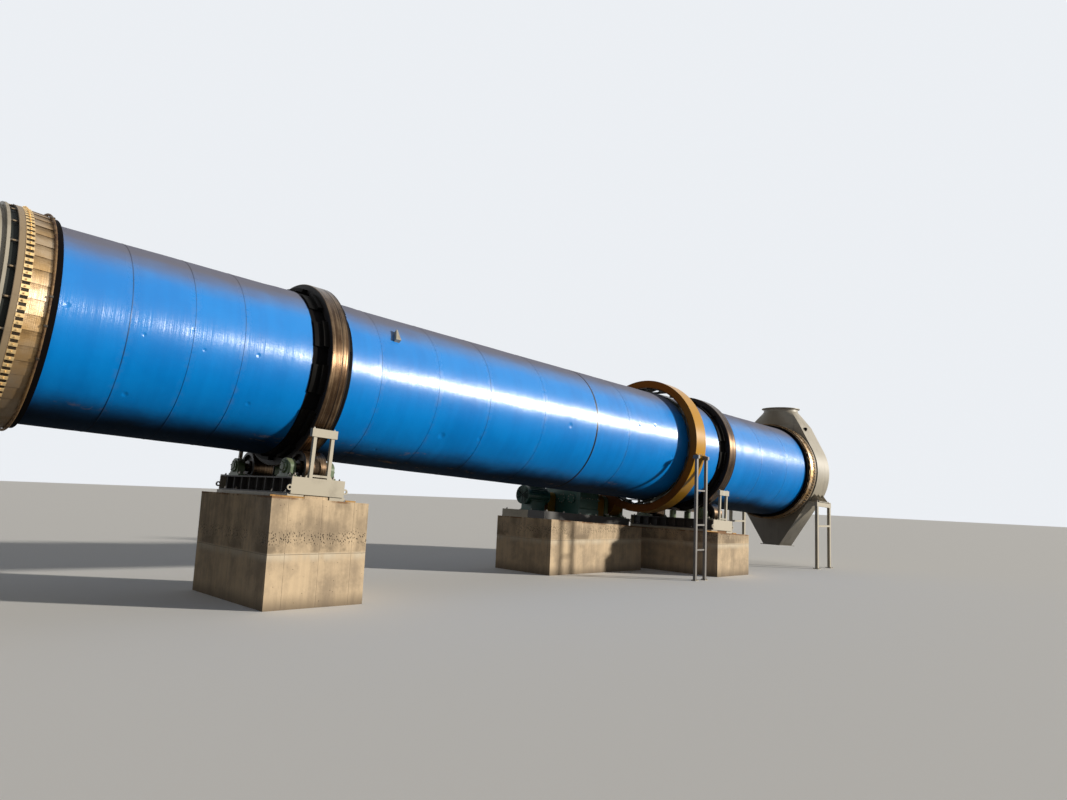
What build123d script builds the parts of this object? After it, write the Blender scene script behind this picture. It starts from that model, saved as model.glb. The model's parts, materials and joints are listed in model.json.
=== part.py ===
"""Rotary drum dryer.

An inclined drum turns on two roller stations.  A girth gear and pinion drive it.  Its uphill end
runs into a fixed feed hood, and its downhill end into a fixed discharge hood with a duct spigot on
top and a chute below.

X runs downhill along the drum, Y points to the drive side, and Z is up.  The origin is on the
ground, under the middle of the feed pier.  What belongs to the drum is set out along the drum's
sloping axis by its station: the distance along that axis from the middle of the feed tyre.
Millimetres and degrees.
"""
import os
from math import acos, atan2, cos, hypot, pi, radians, sin, sqrt, tan

from build123d import *

os.makedirs("parts", exist_ok=True)

# Clearances
SEAT_GAP = 0.3          # between curved faces that lie on each other
BEARING_GAP = 0.08      # between a shaft and its bearing, on the radius
RUNNING_GAP = 10        # between a turning piece and a fixed one

# Drum axis
SLOPE = 2.7
AXIS_HEIGHT = 4020

# Drum shell: plain courses, and heavier ones under the tyres and the gear
SHELL_RADIUS = 1500
SHELL_WALL = 20
HEAVY_STEP = 8
SHELL_START = -4900
SHELL_LENGTH = 23100
HEAVY_REACH = 1000      # from a tyre's middle to the end of its heavy course
HEAVY_BEFORE_GEAR = 630

# Tyres and the pads that carry them on the shell
TYRE_HEIGHT = 200       # of the tread above the shell
TYRE_WIDTH = 340
TYRE_CHAMFER = 12
TYRE_SPAN = 12630
PAD_COUNT = 12
PAD_THICKNESS = 30
PAD_UPHILL = 410        # from the tyre's middle to the pads' uphill ends
PAD_DOWNHILL = 320
PAD_ARC = 18
STOP_HEIGHT = 62
STOP_LENGTH = 100

# Girth gear, pinion and spring plates
MODULE = 36
GEAR_HEIGHT = 246       # of the pitch circle above the shell, before it is rounded to whole teeth
PINION_TEETH = 15
PRESSURE_ANGLE = 20
DEDENDUM = 1.25         # depth of a tooth below its pitch circle, in modules
TOOTH_SINK = 4          # how far inside the root circle a tooth starts
FLANK_PLAY = 2.0        # between flanks, on each side of a tooth
GEAR_BEFORE_TYRE = 1865  # from the gear's middle to the discharge tyre's
GEAR_WIDTH = 260
GEAR_RIM = 61           # below the tooth roots
PINION_WIDTH = 300
PINION_SWING = 36       # from straight down, towards the drive side
PINION_SHAFT_RADIUS = 90
SPRING_COUNT = 24
SPRING_THICKNESS = 16
SPRING_WIDTH = 230
SPRING_TAIL = 90
SPRING_SEAT = 150

# Lifting flights inside the drum
FLIGHT_COUNT = 12
FLIGHT_TURN = 15        # of the first flight from the drive side
FLIGHT_HEIGHT = 240
FLIGHT_LIP = 110
FLIGHT_LIP_ANGLE = 55
FLIGHT_PLATE = 14
FLIGHT_FEED_INSET = 1300        # from the shell's ends
FLIGHT_DISCHARGE_INSET = 1400

# Support rollers and their bearings
ROLLER_RADIUS = 300
ROLLER_WIDTH = 400
ROLLER_SPREAD = 30      # from straight down, to each side
ROLLER_SHAFT_RADIUS = 75
SHAFT_END_INSET = 5     # of a shaft's end, inside its bearing
ROLLER_DISH = 70
ROLLER_HUB_RADIUS = 130
ROLLER_RIM = 60
BEARING_SPACING = 730   # between the two bearings of one roller
BEARING_WIDTH = 140
BEARING_BODY_RADIUS = 150
BEARING_FOOT = 440
BEARING_FOOT_HEIGHT = 40

# Thrust rollers against the discharge tyre
THRUST_RADIUS = 200
THRUST_THICKNESS = 70
THRUST_INSET = 10       # from the tyre's tread to the roller's lower face
THRUST_SHAFT_RADIUS = 50
THRUST_HOUSING_RADIUS = 95

# Piers: their tops lie in one plane, parallel to the drum axis
PIER_BELOW_TYRE = 545
PIER_LENGTH = 1806
PIER_LEDGE = 22         # past the ends of the roller base
DISCHARGE_PIER_LENGTH = 1650
DISCHARGE_PIER_LEDGE = 212
DISCHARGE_PIER_BEFORE = 550     # uphill of the base's middle
DRIVE_PIER_BEFORE = 6           # uphill of the drive base
DRIVE_PIER_AFTER = 238
DRIVE_PIER_LEDGE_NEAR = 280     # past the drive base's sides
DRIVE_PIER_LEDGE_FAR = 170

# Roller bases: two beams across the drum, closed by end boxes
SOLE_THICKNESS = 62
SOLE_WIDTH = 290
BEAM_HEIGHT = 275
BEAM_FLANGE = 210
BEAM_FLANGE_THICKNESS = 24
BEAM_WEB = 16
BEAM_SPACING = 770
BASE_PAST_ROLLER = 130
END_PLATE = 26
RIB_COUNT = 8
RIB_THICKNESS = 14
STAY_SIDES = (-480, 0, 480)     # plates between the beams, off the rollers
STAY_THICKNESS = 20
LUG_RADIUS = 48
LUG_HOLE_RADIUS = 24
LUG_LOWERING = 34       # below the beam's mid-height

# Portal frames on the end boxes
PORTAL_POST = 60
PORTAL_SPAN = 330       # between post centres
PORTAL_TYRE_GAP = 130   # between the posts and the tyre, at the level of the cap's top
PORTAL_CAP_HEIGHT = 140
PORTAL_CAP_LENGTH = 474
PORTAL_CAP_WIDTH = 86
PORTAL_OVERHANG = 15    # of the cap, beyond the posts
PORTAL_RUNG = 36
PORTAL_RUNG_HEIGHT = 30

# Gear guard and its posts
GUARD_TOOTH_GAP = 75    # between the teeth and the guard's rim
GUARD_SHELL_GAP = 146   # between the shell and the guard's opening
GUARD_WIDTH = 440
GUARD_SHEET = 8
GUARD_LIP = 50
GUARD_SPLIT = 8         # the joint's tilt from level, in degrees
GUARD_JOINT = 45        # how far the joint's flanges stand out
PINION_COVER_RADIUS = 370
POST_SECTION = 70
POST_SPACING = 440
POST_GAP = 48           # between the guard and the posts' middles
POST_SHIFT = -60        # of the post pair from the gear, along X
POST_TOP = 3225
POST_RUNGS = (760, 1400, 2290)
RUNG_SECTION = 40
CLEAT_HEIGHT = 90
CLEAT_LEVEL = -335      # from the axis to the cleats' middle

# Seals
LEAF_COUNT = 48
LEAF_SHEET = 6
LEAF_LENGTH = 356
LEAF_ROOT = 110
LEAF_SLOT = 10
SLOT_DEPTH = 60          # of the cutter, along the radius
LEAF_ROOT_HEIGHT = 106           # above the shell
LEAF_TIP_HEIGHT = 86
SEAL_RING_WIDTH = 80
SEAL_RING_HEIGHT = 118
SEAL_RING_DEPTH = 62
SEAL_RECESS = 95                # between a seal ring and its hood, bridged by studs
STUD_COUNT = 24
STUD_RADIUS = 14
WEAR_BAND_WIDTH = 420
WEAR_BAND_SHEET = 12
WEAR_BAND_CLEARANCE = 8
WEAR_OVERHANG = 100             # of the wear band, past the leaves' tips
FEED_SEAL_INSET = 258           # from the shell's end to the leaves' roots
DISCHARGE_SEAL_INSET = 256

# Feed hood
FEED_HOOD_HEIGHT = 70           # above the shell
FEED_HOOD_SHEET = 10
FEED_HOOD_LENGTH = 1700
HOOD_RIM_WIDTH = 40
HOOD_RIM_HEIGHT = 50
MOUTH_RADIUS = 650
MOUTH_LENGTH = 260

# Discharge hood
HOOD_WIDTH = 870
HOOD_ROUND_HEIGHT = 120         # of the round part, above the shell
HOOD_SHEET = 10
HOOD_HOLE_GAP = 40
HOOD_SHOULDER_RISE = 20         # from the round part's top to where the spigot starts
SPIGOT_RADIUS = 580
SPIGOT_HEIGHT = 5440            # above the ground
SPIGOT_COLLAR = 120             # straight length under the flange
CHUTE_HALF_WIDTH = 300
CHUTE_LENGTH = 860              # below the round part
FLANGE_THICKNESS = 20
FLANGE_WIDTH = 70
FLANGE_HOLES = 16
FLANGE_HOLE_RADIUS = 11

# Hood feet and the goalposts under them
FOOT_HEIGHT = 2180              # of the discharge goalposts' top, above the ground
FOOT_PLATE = 20
FOOT_REACH = 70                 # past the hood's round part
GOAL_INSIDE = 10                # from the round part's side to the posts' middles
GOAL_LENGTH = 1040
GOAL_BEAM = 150
GOAL_SECTION = 90
GOAL_INSET = 22                 # of a leg from the beam's end
GOAL_RUNG = 60
GOAL_RUNG_SHARE = 0.64

# Drive
DRIVE_BASE_HEIGHT = 200
DRIVE_BASE_BEFORE = 260         # uphill of the motor
DRIVE_BASE_AFTER = 40           # downhill of the pinion's bearings
DRIVE_BASE_NEAR_REACH = 405     # from the pinion to the base's near side
DRIVE_BASE_WIDTH = 1620
DRIVE_BASE_RAIL = 160
DRIVE_BASE_BAYS = 3
PINION_BEARING_SPACING = 680
PINION_BEARING_WIDTH = 150
PINION_BEARING_RADIUS = 175
PINION_BEARING_FOOT = 520
COUPLING_RADIUS = 170
COUPLING_LENGTH = 330
COUPLING_GUARD_RADIUS = 200
COUPLING_GUARD_SHEET = 6
REDUCER_BEFORE_GEAR = 815       # from its output side to the gear's middle
REDUCER_LENGTH = 840
REDUCER_CENTRES = 740           # between its output and input shafts
REDUCER_BELOW = 300
REDUCER_ABOVE = 330
REDUCER_FLANGE = 36
REDUCER_CORNER = 100
MOTOR_GAP = 290                 # between motor and reducer, bridged by the coupling
MOTOR_LENGTH = 860
MOTOR_RADIUS = 255
MOTOR_FINS = 28
MOTOR_FIN_HEIGHT = 28
MOTOR_FIN = 9
MOTOR_COWL = 112
MOTOR_SHIELD = 56       # end shield without fins
MOTOR_FOOT_LENGTH = 516
MOTOR_FOOT_WIDTH = 56
MOTOR_FOOT_SPACING = 332
INPUT_COVER_RADIUS = 150

ORIGIN = Vector(0, 0, AXIS_HEIGHT)
DOWNHILL = Vector(cos(radians(SLOPE)), 0, -sin(radians(SLOPE)))
RISE = Vector(sin(radians(SLOPE)), 0, cos(radians(SLOPE)))
SIDEWAYS = Vector(0, 1, 0)
DRUM_AXIS = Axis(ORIGIN, DOWNHILL)


def on_axis(station):
    """The point of the drum axis at a station."""
    return ORIGIN + DOWNHILL * station


def across(station, side=0, drop=0):
    """A plane square to the drum: x to the drive side, y up, z downhill."""
    point = on_axis(station) + SIDEWAYS * side - RISE * drop
    return Plane(origin=point, x_dir=SIDEWAYS, z_dir=DOWNHILL)


def lengthwise(station, side=0, drop=0):
    """An upright plane along the drum: x downhill, y up, z away from the drive side."""
    point = on_axis(station) + SIDEWAYS * side - RISE * drop
    return Plane(origin=point, x_dir=DOWNHILL, z_dir=SIDEWAYS * -1)


def deck(station, side=0, drop=0):
    """A plane parallel to the drum's axis, below it: x downhill, y to the drive side, z up."""
    point = on_axis(station) + SIDEWAYS * side - RISE * drop
    return Plane(origin=point, x_dir=DOWNHILL, z_dir=RISE)


def radial(angle):
    """A plane through the drum axis: x is the station, y the radius at an angle from Y."""
    outwards = SIDEWAYS * cos(radians(angle)) + RISE * sin(radians(angle))
    return Plane(origin=ORIGIN, x_dir=DOWNHILL, z_dir=DOWNHILL.cross(outwards))


def band(start, end, inner, outer):
    """A ring's section in a radial plane, as a rectangle from station to station."""
    with Locations(((start + end) / 2, (inner + outer) / 2)):
        Rectangle(abs(end - start), outer - inner)


def save(builder, name):
    """Label a finished piece and write its file."""
    builder.part.label = name
    export_step(builder.part, f"parts/{name}.step")


def involute(angle):
    """The involute function of a pressure angle in radians."""
    return tan(angle) - angle


def tooth(count, flank_steps):
    """One tooth along +x, from just below the root circle: chords inside its involute flanks."""
    pitch = MODULE * count / 2
    base = pitch * cos(radians(PRESSURE_ANGLE))
    root = pitch - DEDENDUM * MODULE
    tip = pitch + MODULE
    half_pitch_angle = pi / (2 * count) - FLANK_PLAY / 2 / pitch
    foot = max(root, base)
    radii = [foot + (tip - foot) * step / flank_steps for step in range(flank_steps + 1)]
    flank = []
    for radius in radii:
        pressure = acos(min(1, base / radius))
        angle = half_pitch_angle + involute(radians(PRESSURE_ANGLE)) - involute(pressure)
        flank.append((radius, angle))
    flank.insert(0, (root - TOOTH_SINK, flank[0][1]))
    upper = [(radius * cos(angle), radius * sin(angle)) for radius, angle in flank]
    lower = [(x, -y) for x, y in reversed(upper)]
    return upper + lower


# Radii round the drum, from the shell's
TYRE_RADIUS = SHELL_RADIUS + TYRE_HEIGHT
GEAR_TEETH = round(2 * (SHELL_RADIUS + GEAR_HEIGHT) / MODULE)
GEAR_PITCH_RADIUS = MODULE * GEAR_TEETH / 2
GUARD_RADIUS = GEAR_PITCH_RADIUS + MODULE + GUARD_TOOTH_GAP
GUARD_OPENING = SHELL_RADIUS + GUARD_SHELL_GAP
POST_OFFSET = GUARD_RADIUS + POST_GAP
LEAF_ROOT_RADIUS = SHELL_RADIUS + LEAF_ROOT_HEIGHT
LEAF_TIP_RADIUS = SHELL_RADIUS + LEAF_TIP_HEIGHT
SEAL_RING_RADIUS = SHELL_RADIUS + SEAL_RING_HEIGHT
FEED_HOOD_RADIUS = SHELL_RADIUS + FEED_HOOD_HEIGHT
HOOD_RADIUS = SHELL_RADIUS + HOOD_ROUND_HEIGHT
HOOD_HOLE_RADIUS = SHELL_RADIUS + HOOD_HOLE_GAP

# Levels below the axis, and reaches to the sides
PIER_DROP = TYRE_RADIUS + PIER_BELOW_TYRE
HOOD_SHOULDER = HOOD_RADIUS + HOOD_SHOULDER_RISE
CHUTE_DROP = HOOD_RADIUS + CHUTE_LENGTH
ROLLER_DISTANCE = TYRE_RADIUS + ROLLER_RADIUS + SEAT_GAP
ROLLER_SIDE = ROLLER_DISTANCE * sin(radians(ROLLER_SPREAD))
ROLLER_DROP = ROLLER_DISTANCE * cos(radians(ROLLER_SPREAD))
BASE_LENGTH = 2 * (ROLLER_SIDE + ROLLER_RADIUS + BASE_PAST_ROLLER)
PINION_PITCH_RADIUS = MODULE * PINION_TEETH / 2
PINION_DISTANCE = GEAR_PITCH_RADIUS + PINION_PITCH_RADIUS
PINION_SIDE = PINION_DISTANCE * sin(radians(PINION_SWING))
PINION_DROP = PINION_DISTANCE * cos(radians(PINION_SWING))
DRIVE_BASE_NEAR = PINION_SIDE - DRIVE_BASE_NEAR_REACH

# Stations along the drum: its ends and seals, then from the discharge tyre back to the motor
SHELL_END = SHELL_START + SHELL_LENGTH
FEED_SEAL_STATION = SHELL_START + FEED_SEAL_INSET
DISCHARGE_SEAL_STATION = SHELL_END - DISCHARGE_SEAL_INSET
GEAR_STATION = TYRE_SPAN - GEAR_BEFORE_TYRE
REDUCER_END = GEAR_STATION - REDUCER_BEFORE_GEAR
REDUCER_START = REDUCER_END - REDUCER_LENGTH
MOTOR_END = REDUCER_START - MOTOR_GAP
MOTOR_START = MOTOR_END - MOTOR_LENGTH
DRIVE_BASE_START = MOTOR_START - DRIVE_BASE_BEFORE
DRIVE_BASE_END = GEAR_STATION + (PINION_BEARING_SPACING + PINION_BEARING_WIDTH) / 2 + DRIVE_BASE_AFTER
DRIVE_BASE_LENGTH = DRIVE_BASE_END - DRIVE_BASE_START

# Drum shell
HEAVY_RADIUS = SHELL_RADIUS + HEAVY_STEP
with BuildPart() as drum_shell:
    with BuildSketch(radial(90)):
        band(SHELL_START, SHELL_END, SHELL_RADIUS - SHELL_WALL, SHELL_RADIUS)
        band(-HEAVY_REACH, HEAVY_REACH, SHELL_RADIUS - SHELL_WALL, HEAVY_RADIUS)
        band(GEAR_STATION - HEAVY_BEFORE_GEAR, TYRE_SPAN + HEAVY_REACH, SHELL_RADIUS - SHELL_WALL,
             HEAVY_RADIUS)
    revolve(axis=DRUM_AXIS)
save(drum_shell, "drum_shell")

# Tyres
TYRE_STATIONS = {"feed": 0, "discharge": TYRE_SPAN}
PAD_INNER = HEAVY_RADIUS + SEAT_GAP
PAD_OUTER = PAD_INNER + PAD_THICKNESS
TYRE_BORE = PAD_OUTER + SEAT_GAP
for place, station in TYRE_STATIONS.items():
    with BuildPart() as tyre:
        with BuildSketch(radial(90)) as section:
            band(station - TYRE_WIDTH / 2, station + TYRE_WIDTH / 2, TYRE_BORE, TYRE_RADIUS)
            chamfer(section.vertices().group_by(Axis.Y)[-1], TYRE_CHAMFER)
        revolve(axis=DRUM_AXIS)
    save(tyre, f"tyre_{place}")

# Pads between shell and tyre, with stops on both sides of the tyre
STOP_START = TYRE_WIDTH / 2 + SEAT_GAP
with BuildPart() as tyre_pads:
    for station in TYRE_STATIONS.values():
        for turn in range(PAD_COUNT):
            with BuildSketch(radial(90 + turn * 360 / PAD_COUNT)):
                band(station - PAD_UPHILL, station + PAD_DOWNHILL, PAD_INNER, PAD_OUTER)
                band(station + STOP_START, station + STOP_START + STOP_LENGTH, PAD_INNER,
                     PAD_OUTER + STOP_HEIGHT)
                band(station - STOP_START - STOP_LENGTH, station - STOP_START, PAD_INNER,
                     PAD_OUTER + STOP_HEIGHT)
            revolve(axis=DRUM_AXIS, revolution_arc=PAD_ARC)
save(tyre_pads, "tyre_pads")

# Girth gear
GEAR_ROOT_RADIUS = GEAR_PITCH_RADIUS - DEDENDUM * MODULE
GEAR_BORE = GEAR_ROOT_RADIUS - GEAR_RIM
PINION_DIRECTION = PINION_SWING - 90
with BuildPart() as girth_gear:
    with BuildSketch(across(GEAR_STATION - GEAR_WIDTH / 2)):
        Circle(GEAR_ROOT_RADIUS)
        with PolarLocations(0, GEAR_TEETH, start_angle=PINION_DIRECTION):
            Polygon(*tooth(GEAR_TEETH, 2), align=None)
        Circle(GEAR_BORE, mode=Mode.SUBTRACT)
    extrude(amount=GEAR_WIDTH)
save(girth_gear, "girth_gear")

# Spring plates: each leaves the shell as a tangent and ends under the gear's rim
SPRING_UNDERSIDE = HEAVY_RADIUS + SEAT_GAP
SPRING_TOPSIDE = SPRING_UNDERSIDE + SPRING_THICKNESS
RIM_INSIDE = GEAR_BORE - SEAT_GAP
SPRING_TIP = sqrt(RIM_INSIDE ** 2 - SPRING_TOPSIDE ** 2)
SEAT_START = SPRING_TIP - SPRING_SEAT
SEAT_CORNER = sqrt(RIM_INSIDE ** 2 - SEAT_START ** 2)
SPRING_OUTLINE = [
    (SPRING_UNDERSIDE, -SPRING_TAIL),
    (SPRING_TOPSIDE, -SPRING_TAIL),
    (SPRING_TOPSIDE, SEAT_START),
    (SEAT_CORNER, SEAT_START),
    (SPRING_TOPSIDE, SPRING_TIP),
    (SPRING_UNDERSIDE, SPRING_TIP),
]
with BuildPart() as spring_plates:
    with BuildSketch(across(GEAR_STATION - SPRING_WIDTH / 2)):
        with PolarLocations(0, SPRING_COUNT):
            Polygon(*SPRING_OUTLINE, align=None)
    extrude(amount=SPRING_WIDTH)
save(spring_plates, "spring_plates")

# Wear rings under the seals: a band held off the shell by a disc
WEAR_OUTER = LEAF_TIP_RADIUS - LEAF_SHEET - WEAR_BAND_CLEARANCE
FEED_LEAF_TIP = FEED_SEAL_STATION + LEAF_LENGTH
DISCHARGE_LEAF_TIP = DISCHARGE_SEAL_STATION - LEAF_LENGTH
with BuildPart() as wear_rings:
    for disc_side, tip in ((1, FEED_LEAF_TIP), (-1, DISCHARGE_LEAF_TIP)):
        outer_end = tip + disc_side * WEAR_OVERHANG
        inner_end = outer_end - disc_side * WEAR_BAND_WIDTH
        disc_back = outer_end - disc_side * WEAR_BAND_SHEET
        with BuildSketch(radial(90)):
            band(inner_end, outer_end, WEAR_OUTER - WEAR_BAND_SHEET, WEAR_OUTER)
            band(disc_back, outer_end, SHELL_RADIUS + SEAT_GAP, WEAR_OUTER)
        revolve(axis=DRUM_AXIS)
save(wear_rings, "wear_rings")

# Lifting flights: bent bars along the inside of the shell
FLIGHT_FOOT = SHELL_RADIUS - SHELL_WALL - SEAT_GAP
FLIGHT_BEND = FLIGHT_FOOT - FLIGHT_HEIGHT
LIP_IN = FLIGHT_LIP * cos(radians(FLIGHT_LIP_ANGLE))
LIP_OUT = FLIGHT_LIP * sin(radians(FLIGHT_LIP_ANGLE))
FLIGHT_CORNER = sqrt(FLIGHT_FOOT ** 2 - (FLIGHT_PLATE / 2) ** 2)
FLIGHT_OUTLINE = [
    (FLIGHT_CORNER, -FLIGHT_PLATE / 2),
    (FLIGHT_CORNER, FLIGHT_PLATE / 2),
    (FLIGHT_BEND, FLIGHT_PLATE / 2),
    (FLIGHT_BEND - LIP_IN, FLIGHT_PLATE / 2 + LIP_OUT),
    (FLIGHT_BEND - LIP_IN - FLIGHT_PLATE, FLIGHT_PLATE / 2 + LIP_OUT),
    (FLIGHT_BEND - FLIGHT_PLATE, -FLIGHT_PLATE / 2),
]
with BuildPart() as lifting_flights:
    with BuildSketch(across(SHELL_START + FLIGHT_FEED_INSET)):
        with PolarLocations(0, FLIGHT_COUNT, start_angle=FLIGHT_TURN):
            Polygon(*FLIGHT_OUTLINE, align=None)
    extrude(amount=SHELL_LENGTH - FLIGHT_FEED_INSET - FLIGHT_DISCHARGE_INSET)
save(lifting_flights, "lifting_flights")

# Support rollers, each on its own shaft
ROLLER_SHAFT_LENGTH = BEARING_SPACING + BEARING_WIDTH - 2 * SHAFT_END_INSET
for place, station in TYRE_STATIONS.items():
    for side_name, side in (("near", -ROLLER_SIDE), ("far", ROLLER_SIDE)):
        middle = across(station, side, ROLLER_DROP)
        with BuildPart() as roller:
            with BuildSketch(middle):
                Circle(ROLLER_RADIUS)
            extrude(amount=ROLLER_WIDTH / 2, both=True)
            chamfer(roller.edges().filter_by(GeomType.CIRCLE), TYRE_CHAMFER)
            for face in (-1, 1):
                with BuildSketch(across(station + face * ROLLER_WIDTH / 2, side, ROLLER_DROP)):
                    Circle(ROLLER_RADIUS - ROLLER_RIM)
                    Circle(ROLLER_HUB_RADIUS, mode=Mode.SUBTRACT)
                extrude(amount=-face * ROLLER_DISH, mode=Mode.SUBTRACT)
            with BuildSketch(middle):
                Circle(ROLLER_SHAFT_RADIUS)
            extrude(amount=ROLLER_SHAFT_LENGTH / 2, both=True)
        save(roller, f"roller_{place}_{side_name}")

# Roller bases
BASE_TOP = PIER_DROP - SOLE_THICKNESS - BEAM_HEIGHT
BEARING_HEIGHT = BASE_TOP - ROLLER_DROP
END_BOX_LENGTH = BEAM_SPACING + BEAM_FLANGE
for place, station in TYRE_STATIONS.items():
    with BuildPart() as roller_base:
        for side in (-1, 1):
            beam = station + side * BEAM_SPACING / 2
            with BuildSketch(lengthwise(beam, 0, BASE_TOP + BEAM_HEIGHT / 2)):
                Rectangle(BEAM_WEB, BEAM_HEIGHT)
                with Locations((0, (BEAM_HEIGHT - BEAM_FLANGE_THICKNESS) / 2),
                               (0, (BEAM_FLANGE_THICKNESS - BEAM_HEIGHT) / 2)):
                    Rectangle(BEAM_FLANGE, BEAM_FLANGE_THICKNESS)
            extrude(amount=BASE_LENGTH / 2, both=True)
            with BuildSketch(deck(beam, 0, BASE_TOP + BEAM_HEIGHT - BEAM_FLANGE_THICKNESS)):
                with GridLocations(0, BASE_LENGTH / (RIB_COUNT + 1), 1, RIB_COUNT):
                    Rectangle(BEAM_FLANGE, RIB_THICKNESS)
            extrude(amount=BEAM_HEIGHT - 2 * BEAM_FLANGE_THICKNESS)
        for side in (-1, 1):
            end_face = side * (BASE_LENGTH / 2 + END_PLATE)
            lug = END_BOX_LENGTH / 2 + LUG_HOLE_RADIUS
            with BuildSketch(lengthwise(station, end_face, BASE_TOP + BEAM_HEIGHT / 2)):
                Rectangle(END_BOX_LENGTH, BEAM_HEIGHT)
                with Locations((-lug, -LUG_LOWERING), (lug, -LUG_LOWERING)):
                    Circle(LUG_RADIUS)
                    Circle(LUG_HOLE_RADIUS, mode=Mode.SUBTRACT)
            extrude(amount=side * END_PLATE)
        for stay in STAY_SIDES:
            with BuildSketch(lengthwise(station, stay, BASE_TOP + BEAM_HEIGHT / 2)):
                Rectangle(BEAM_SPACING, BEAM_HEIGHT - 2 * BEAM_FLANGE_THICKNESS)
            extrude(amount=STAY_THICKNESS / 2, both=True)
    save(roller_base, f"roller_base_{place}")

# Sole plates under the beams
with BuildPart() as sole_plates:
    for station in TYRE_STATIONS.values():
        with BuildSketch(deck(station, 0, PIER_DROP)):
            with GridLocations(BEAM_SPACING, 0, 2, 1):
                Rectangle(SOLE_WIDTH, BASE_LENGTH)
        extrude(amount=SOLE_THICKNESS)
save(sole_plates, "sole_plates")

# Bearing housings of the support rollers
for place, station in TYRE_STATIONS.items():
    with BuildPart() as bearings:
        for side in (-ROLLER_SIDE, ROLLER_SIDE):
            for end in (-1, 1):
                face = station + end * BEARING_SPACING / 2 - BEARING_WIDTH / 2
                with BuildSketch(across(face, side, ROLLER_DROP)):
                    Circle(BEARING_BODY_RADIUS)
                    with Locations((0, -BEARING_HEIGHT / 2)):
                        Rectangle(2 * BEARING_BODY_RADIUS, BEARING_HEIGHT)
                    with Locations((0, BEARING_FOOT_HEIGHT / 2 - BEARING_HEIGHT)):
                        Rectangle(BEARING_FOOT, BEARING_FOOT_HEIGHT)
                    Circle(ROLLER_SHAFT_RADIUS + BEARING_GAP, mode=Mode.SUBTRACT)
                extrude(amount=BEARING_WIDTH)
    save(bearings, f"roller_bearings_{place}")

# Portal frames on the bases' ends
PORTAL_FACE = BASE_LENGTH / 2 + END_PLATE
PORTAL_HEIGHT = BASE_TOP - sqrt(TYRE_RADIUS ** 2 - (PORTAL_FACE - PORTAL_TYRE_GAP) ** 2)
PORTAL_LEG = PORTAL_HEIGHT - PORTAL_CAP_HEIGHT
with BuildPart() as portals:
    for station in TYRE_STATIONS.values():
        for side in (-1, 1):
            with BuildSketch(lengthwise(station, side * PORTAL_FACE, BASE_TOP)):
                with Locations((-PORTAL_SPAN / 2, PORTAL_LEG / 2), (PORTAL_SPAN / 2, PORTAL_LEG / 2)):
                    Rectangle(PORTAL_POST, PORTAL_LEG)
                with Locations((0, PORTAL_RUNG_HEIGHT + PORTAL_RUNG / 2)):
                    Rectangle(PORTAL_SPAN, PORTAL_RUNG)
            extrude(amount=side * PORTAL_POST)
            with BuildSketch(lengthwise(station, side * (PORTAL_FACE + PORTAL_OVERHANG), BASE_TOP)):
                with Locations((0, PORTAL_LEG + PORTAL_CAP_HEIGHT / 2)):
                    Rectangle(PORTAL_CAP_LENGTH, PORTAL_CAP_HEIGHT)
            extrude(amount=side * PORTAL_CAP_WIDTH)
save(portals, "roller_portals")


def pier(start, length, near, width, name):
    """A concrete pier from the ground up to the plane that carries the machine."""
    foot = AXIS_HEIGHT - PIER_DROP / cos(radians(SLOPE))
    corners = [
        (start, 0),
        (start + length, 0),
        (start + length, foot - (start + length) * tan(radians(SLOPE))),
        (start, foot - start * tan(radians(SLOPE))),
    ]
    with BuildPart() as block:
        with BuildSketch(Plane.XZ.offset(-near)):
            Polygon(*corners, align=None)
        extrude(amount=-width)
    save(block, name)


# Piers
PIER_NEAR = -BASE_LENGTH / 2 - PIER_LEDGE
DISCHARGE_PIER_NEAR = -BASE_LENGTH / 2 - DISCHARGE_PIER_LEDGE
DISCHARGE_PIER_START = deck(TYRE_SPAN, 0, PIER_DROP).origin.X - DISCHARGE_PIER_BEFORE
DRIVE_PIER_START = deck(DRIVE_BASE_START, 0, PIER_DROP).origin.X - DRIVE_PIER_BEFORE
DRIVE_PIER_END = deck(DRIVE_BASE_END, 0, PIER_DROP).origin.X + DRIVE_PIER_AFTER
DRIVE_PIER_NEAR = DRIVE_BASE_NEAR - DRIVE_PIER_LEDGE_NEAR
DRIVE_PIER_WIDTH = DRIVE_BASE_WIDTH + DRIVE_PIER_LEDGE_NEAR + DRIVE_PIER_LEDGE_FAR
pier(-PIER_LENGTH / 2, PIER_LENGTH, PIER_NEAR, -2 * PIER_NEAR, "pier_feed")
pier(DISCHARGE_PIER_START, DISCHARGE_PIER_LENGTH, DISCHARGE_PIER_NEAR, -2 * DISCHARGE_PIER_NEAR,
     "pier_discharge")
pier(DRIVE_PIER_START, DRIVE_PIER_END - DRIVE_PIER_START, DRIVE_PIER_NEAR, DRIVE_PIER_WIDTH, "pier_drive")

# Thrust rollers, one against each side of the discharge tyre
THRUST_LOW = TYRE_RADIUS - THRUST_INSET
THRUST_REACH = TYRE_WIDTH / 2 + THRUST_RADIUS + SEAT_GAP
THRUST_HOUSING_TOP = THRUST_LOW + RUNNING_GAP
for side_name, side in (("uphill", -1), ("downhill", 1)):
    with BuildPart() as thrust_roller:
        with BuildSketch(deck(TYRE_SPAN + side * THRUST_REACH, 0, THRUST_LOW)):
            Circle(THRUST_RADIUS)
        extrude(amount=THRUST_THICKNESS)
        chamfer(thrust_roller.edges().filter_by(GeomType.CIRCLE), TYRE_CHAMFER / 2)
        with BuildSketch(deck(TYRE_SPAN + side * THRUST_REACH, 0, BASE_TOP - RUNNING_GAP)):
            Circle(THRUST_SHAFT_RADIUS)
        extrude(amount=BASE_TOP - RUNNING_GAP - THRUST_LOW)
    save(thrust_roller, f"thrust_roller_{side_name}")

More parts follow.
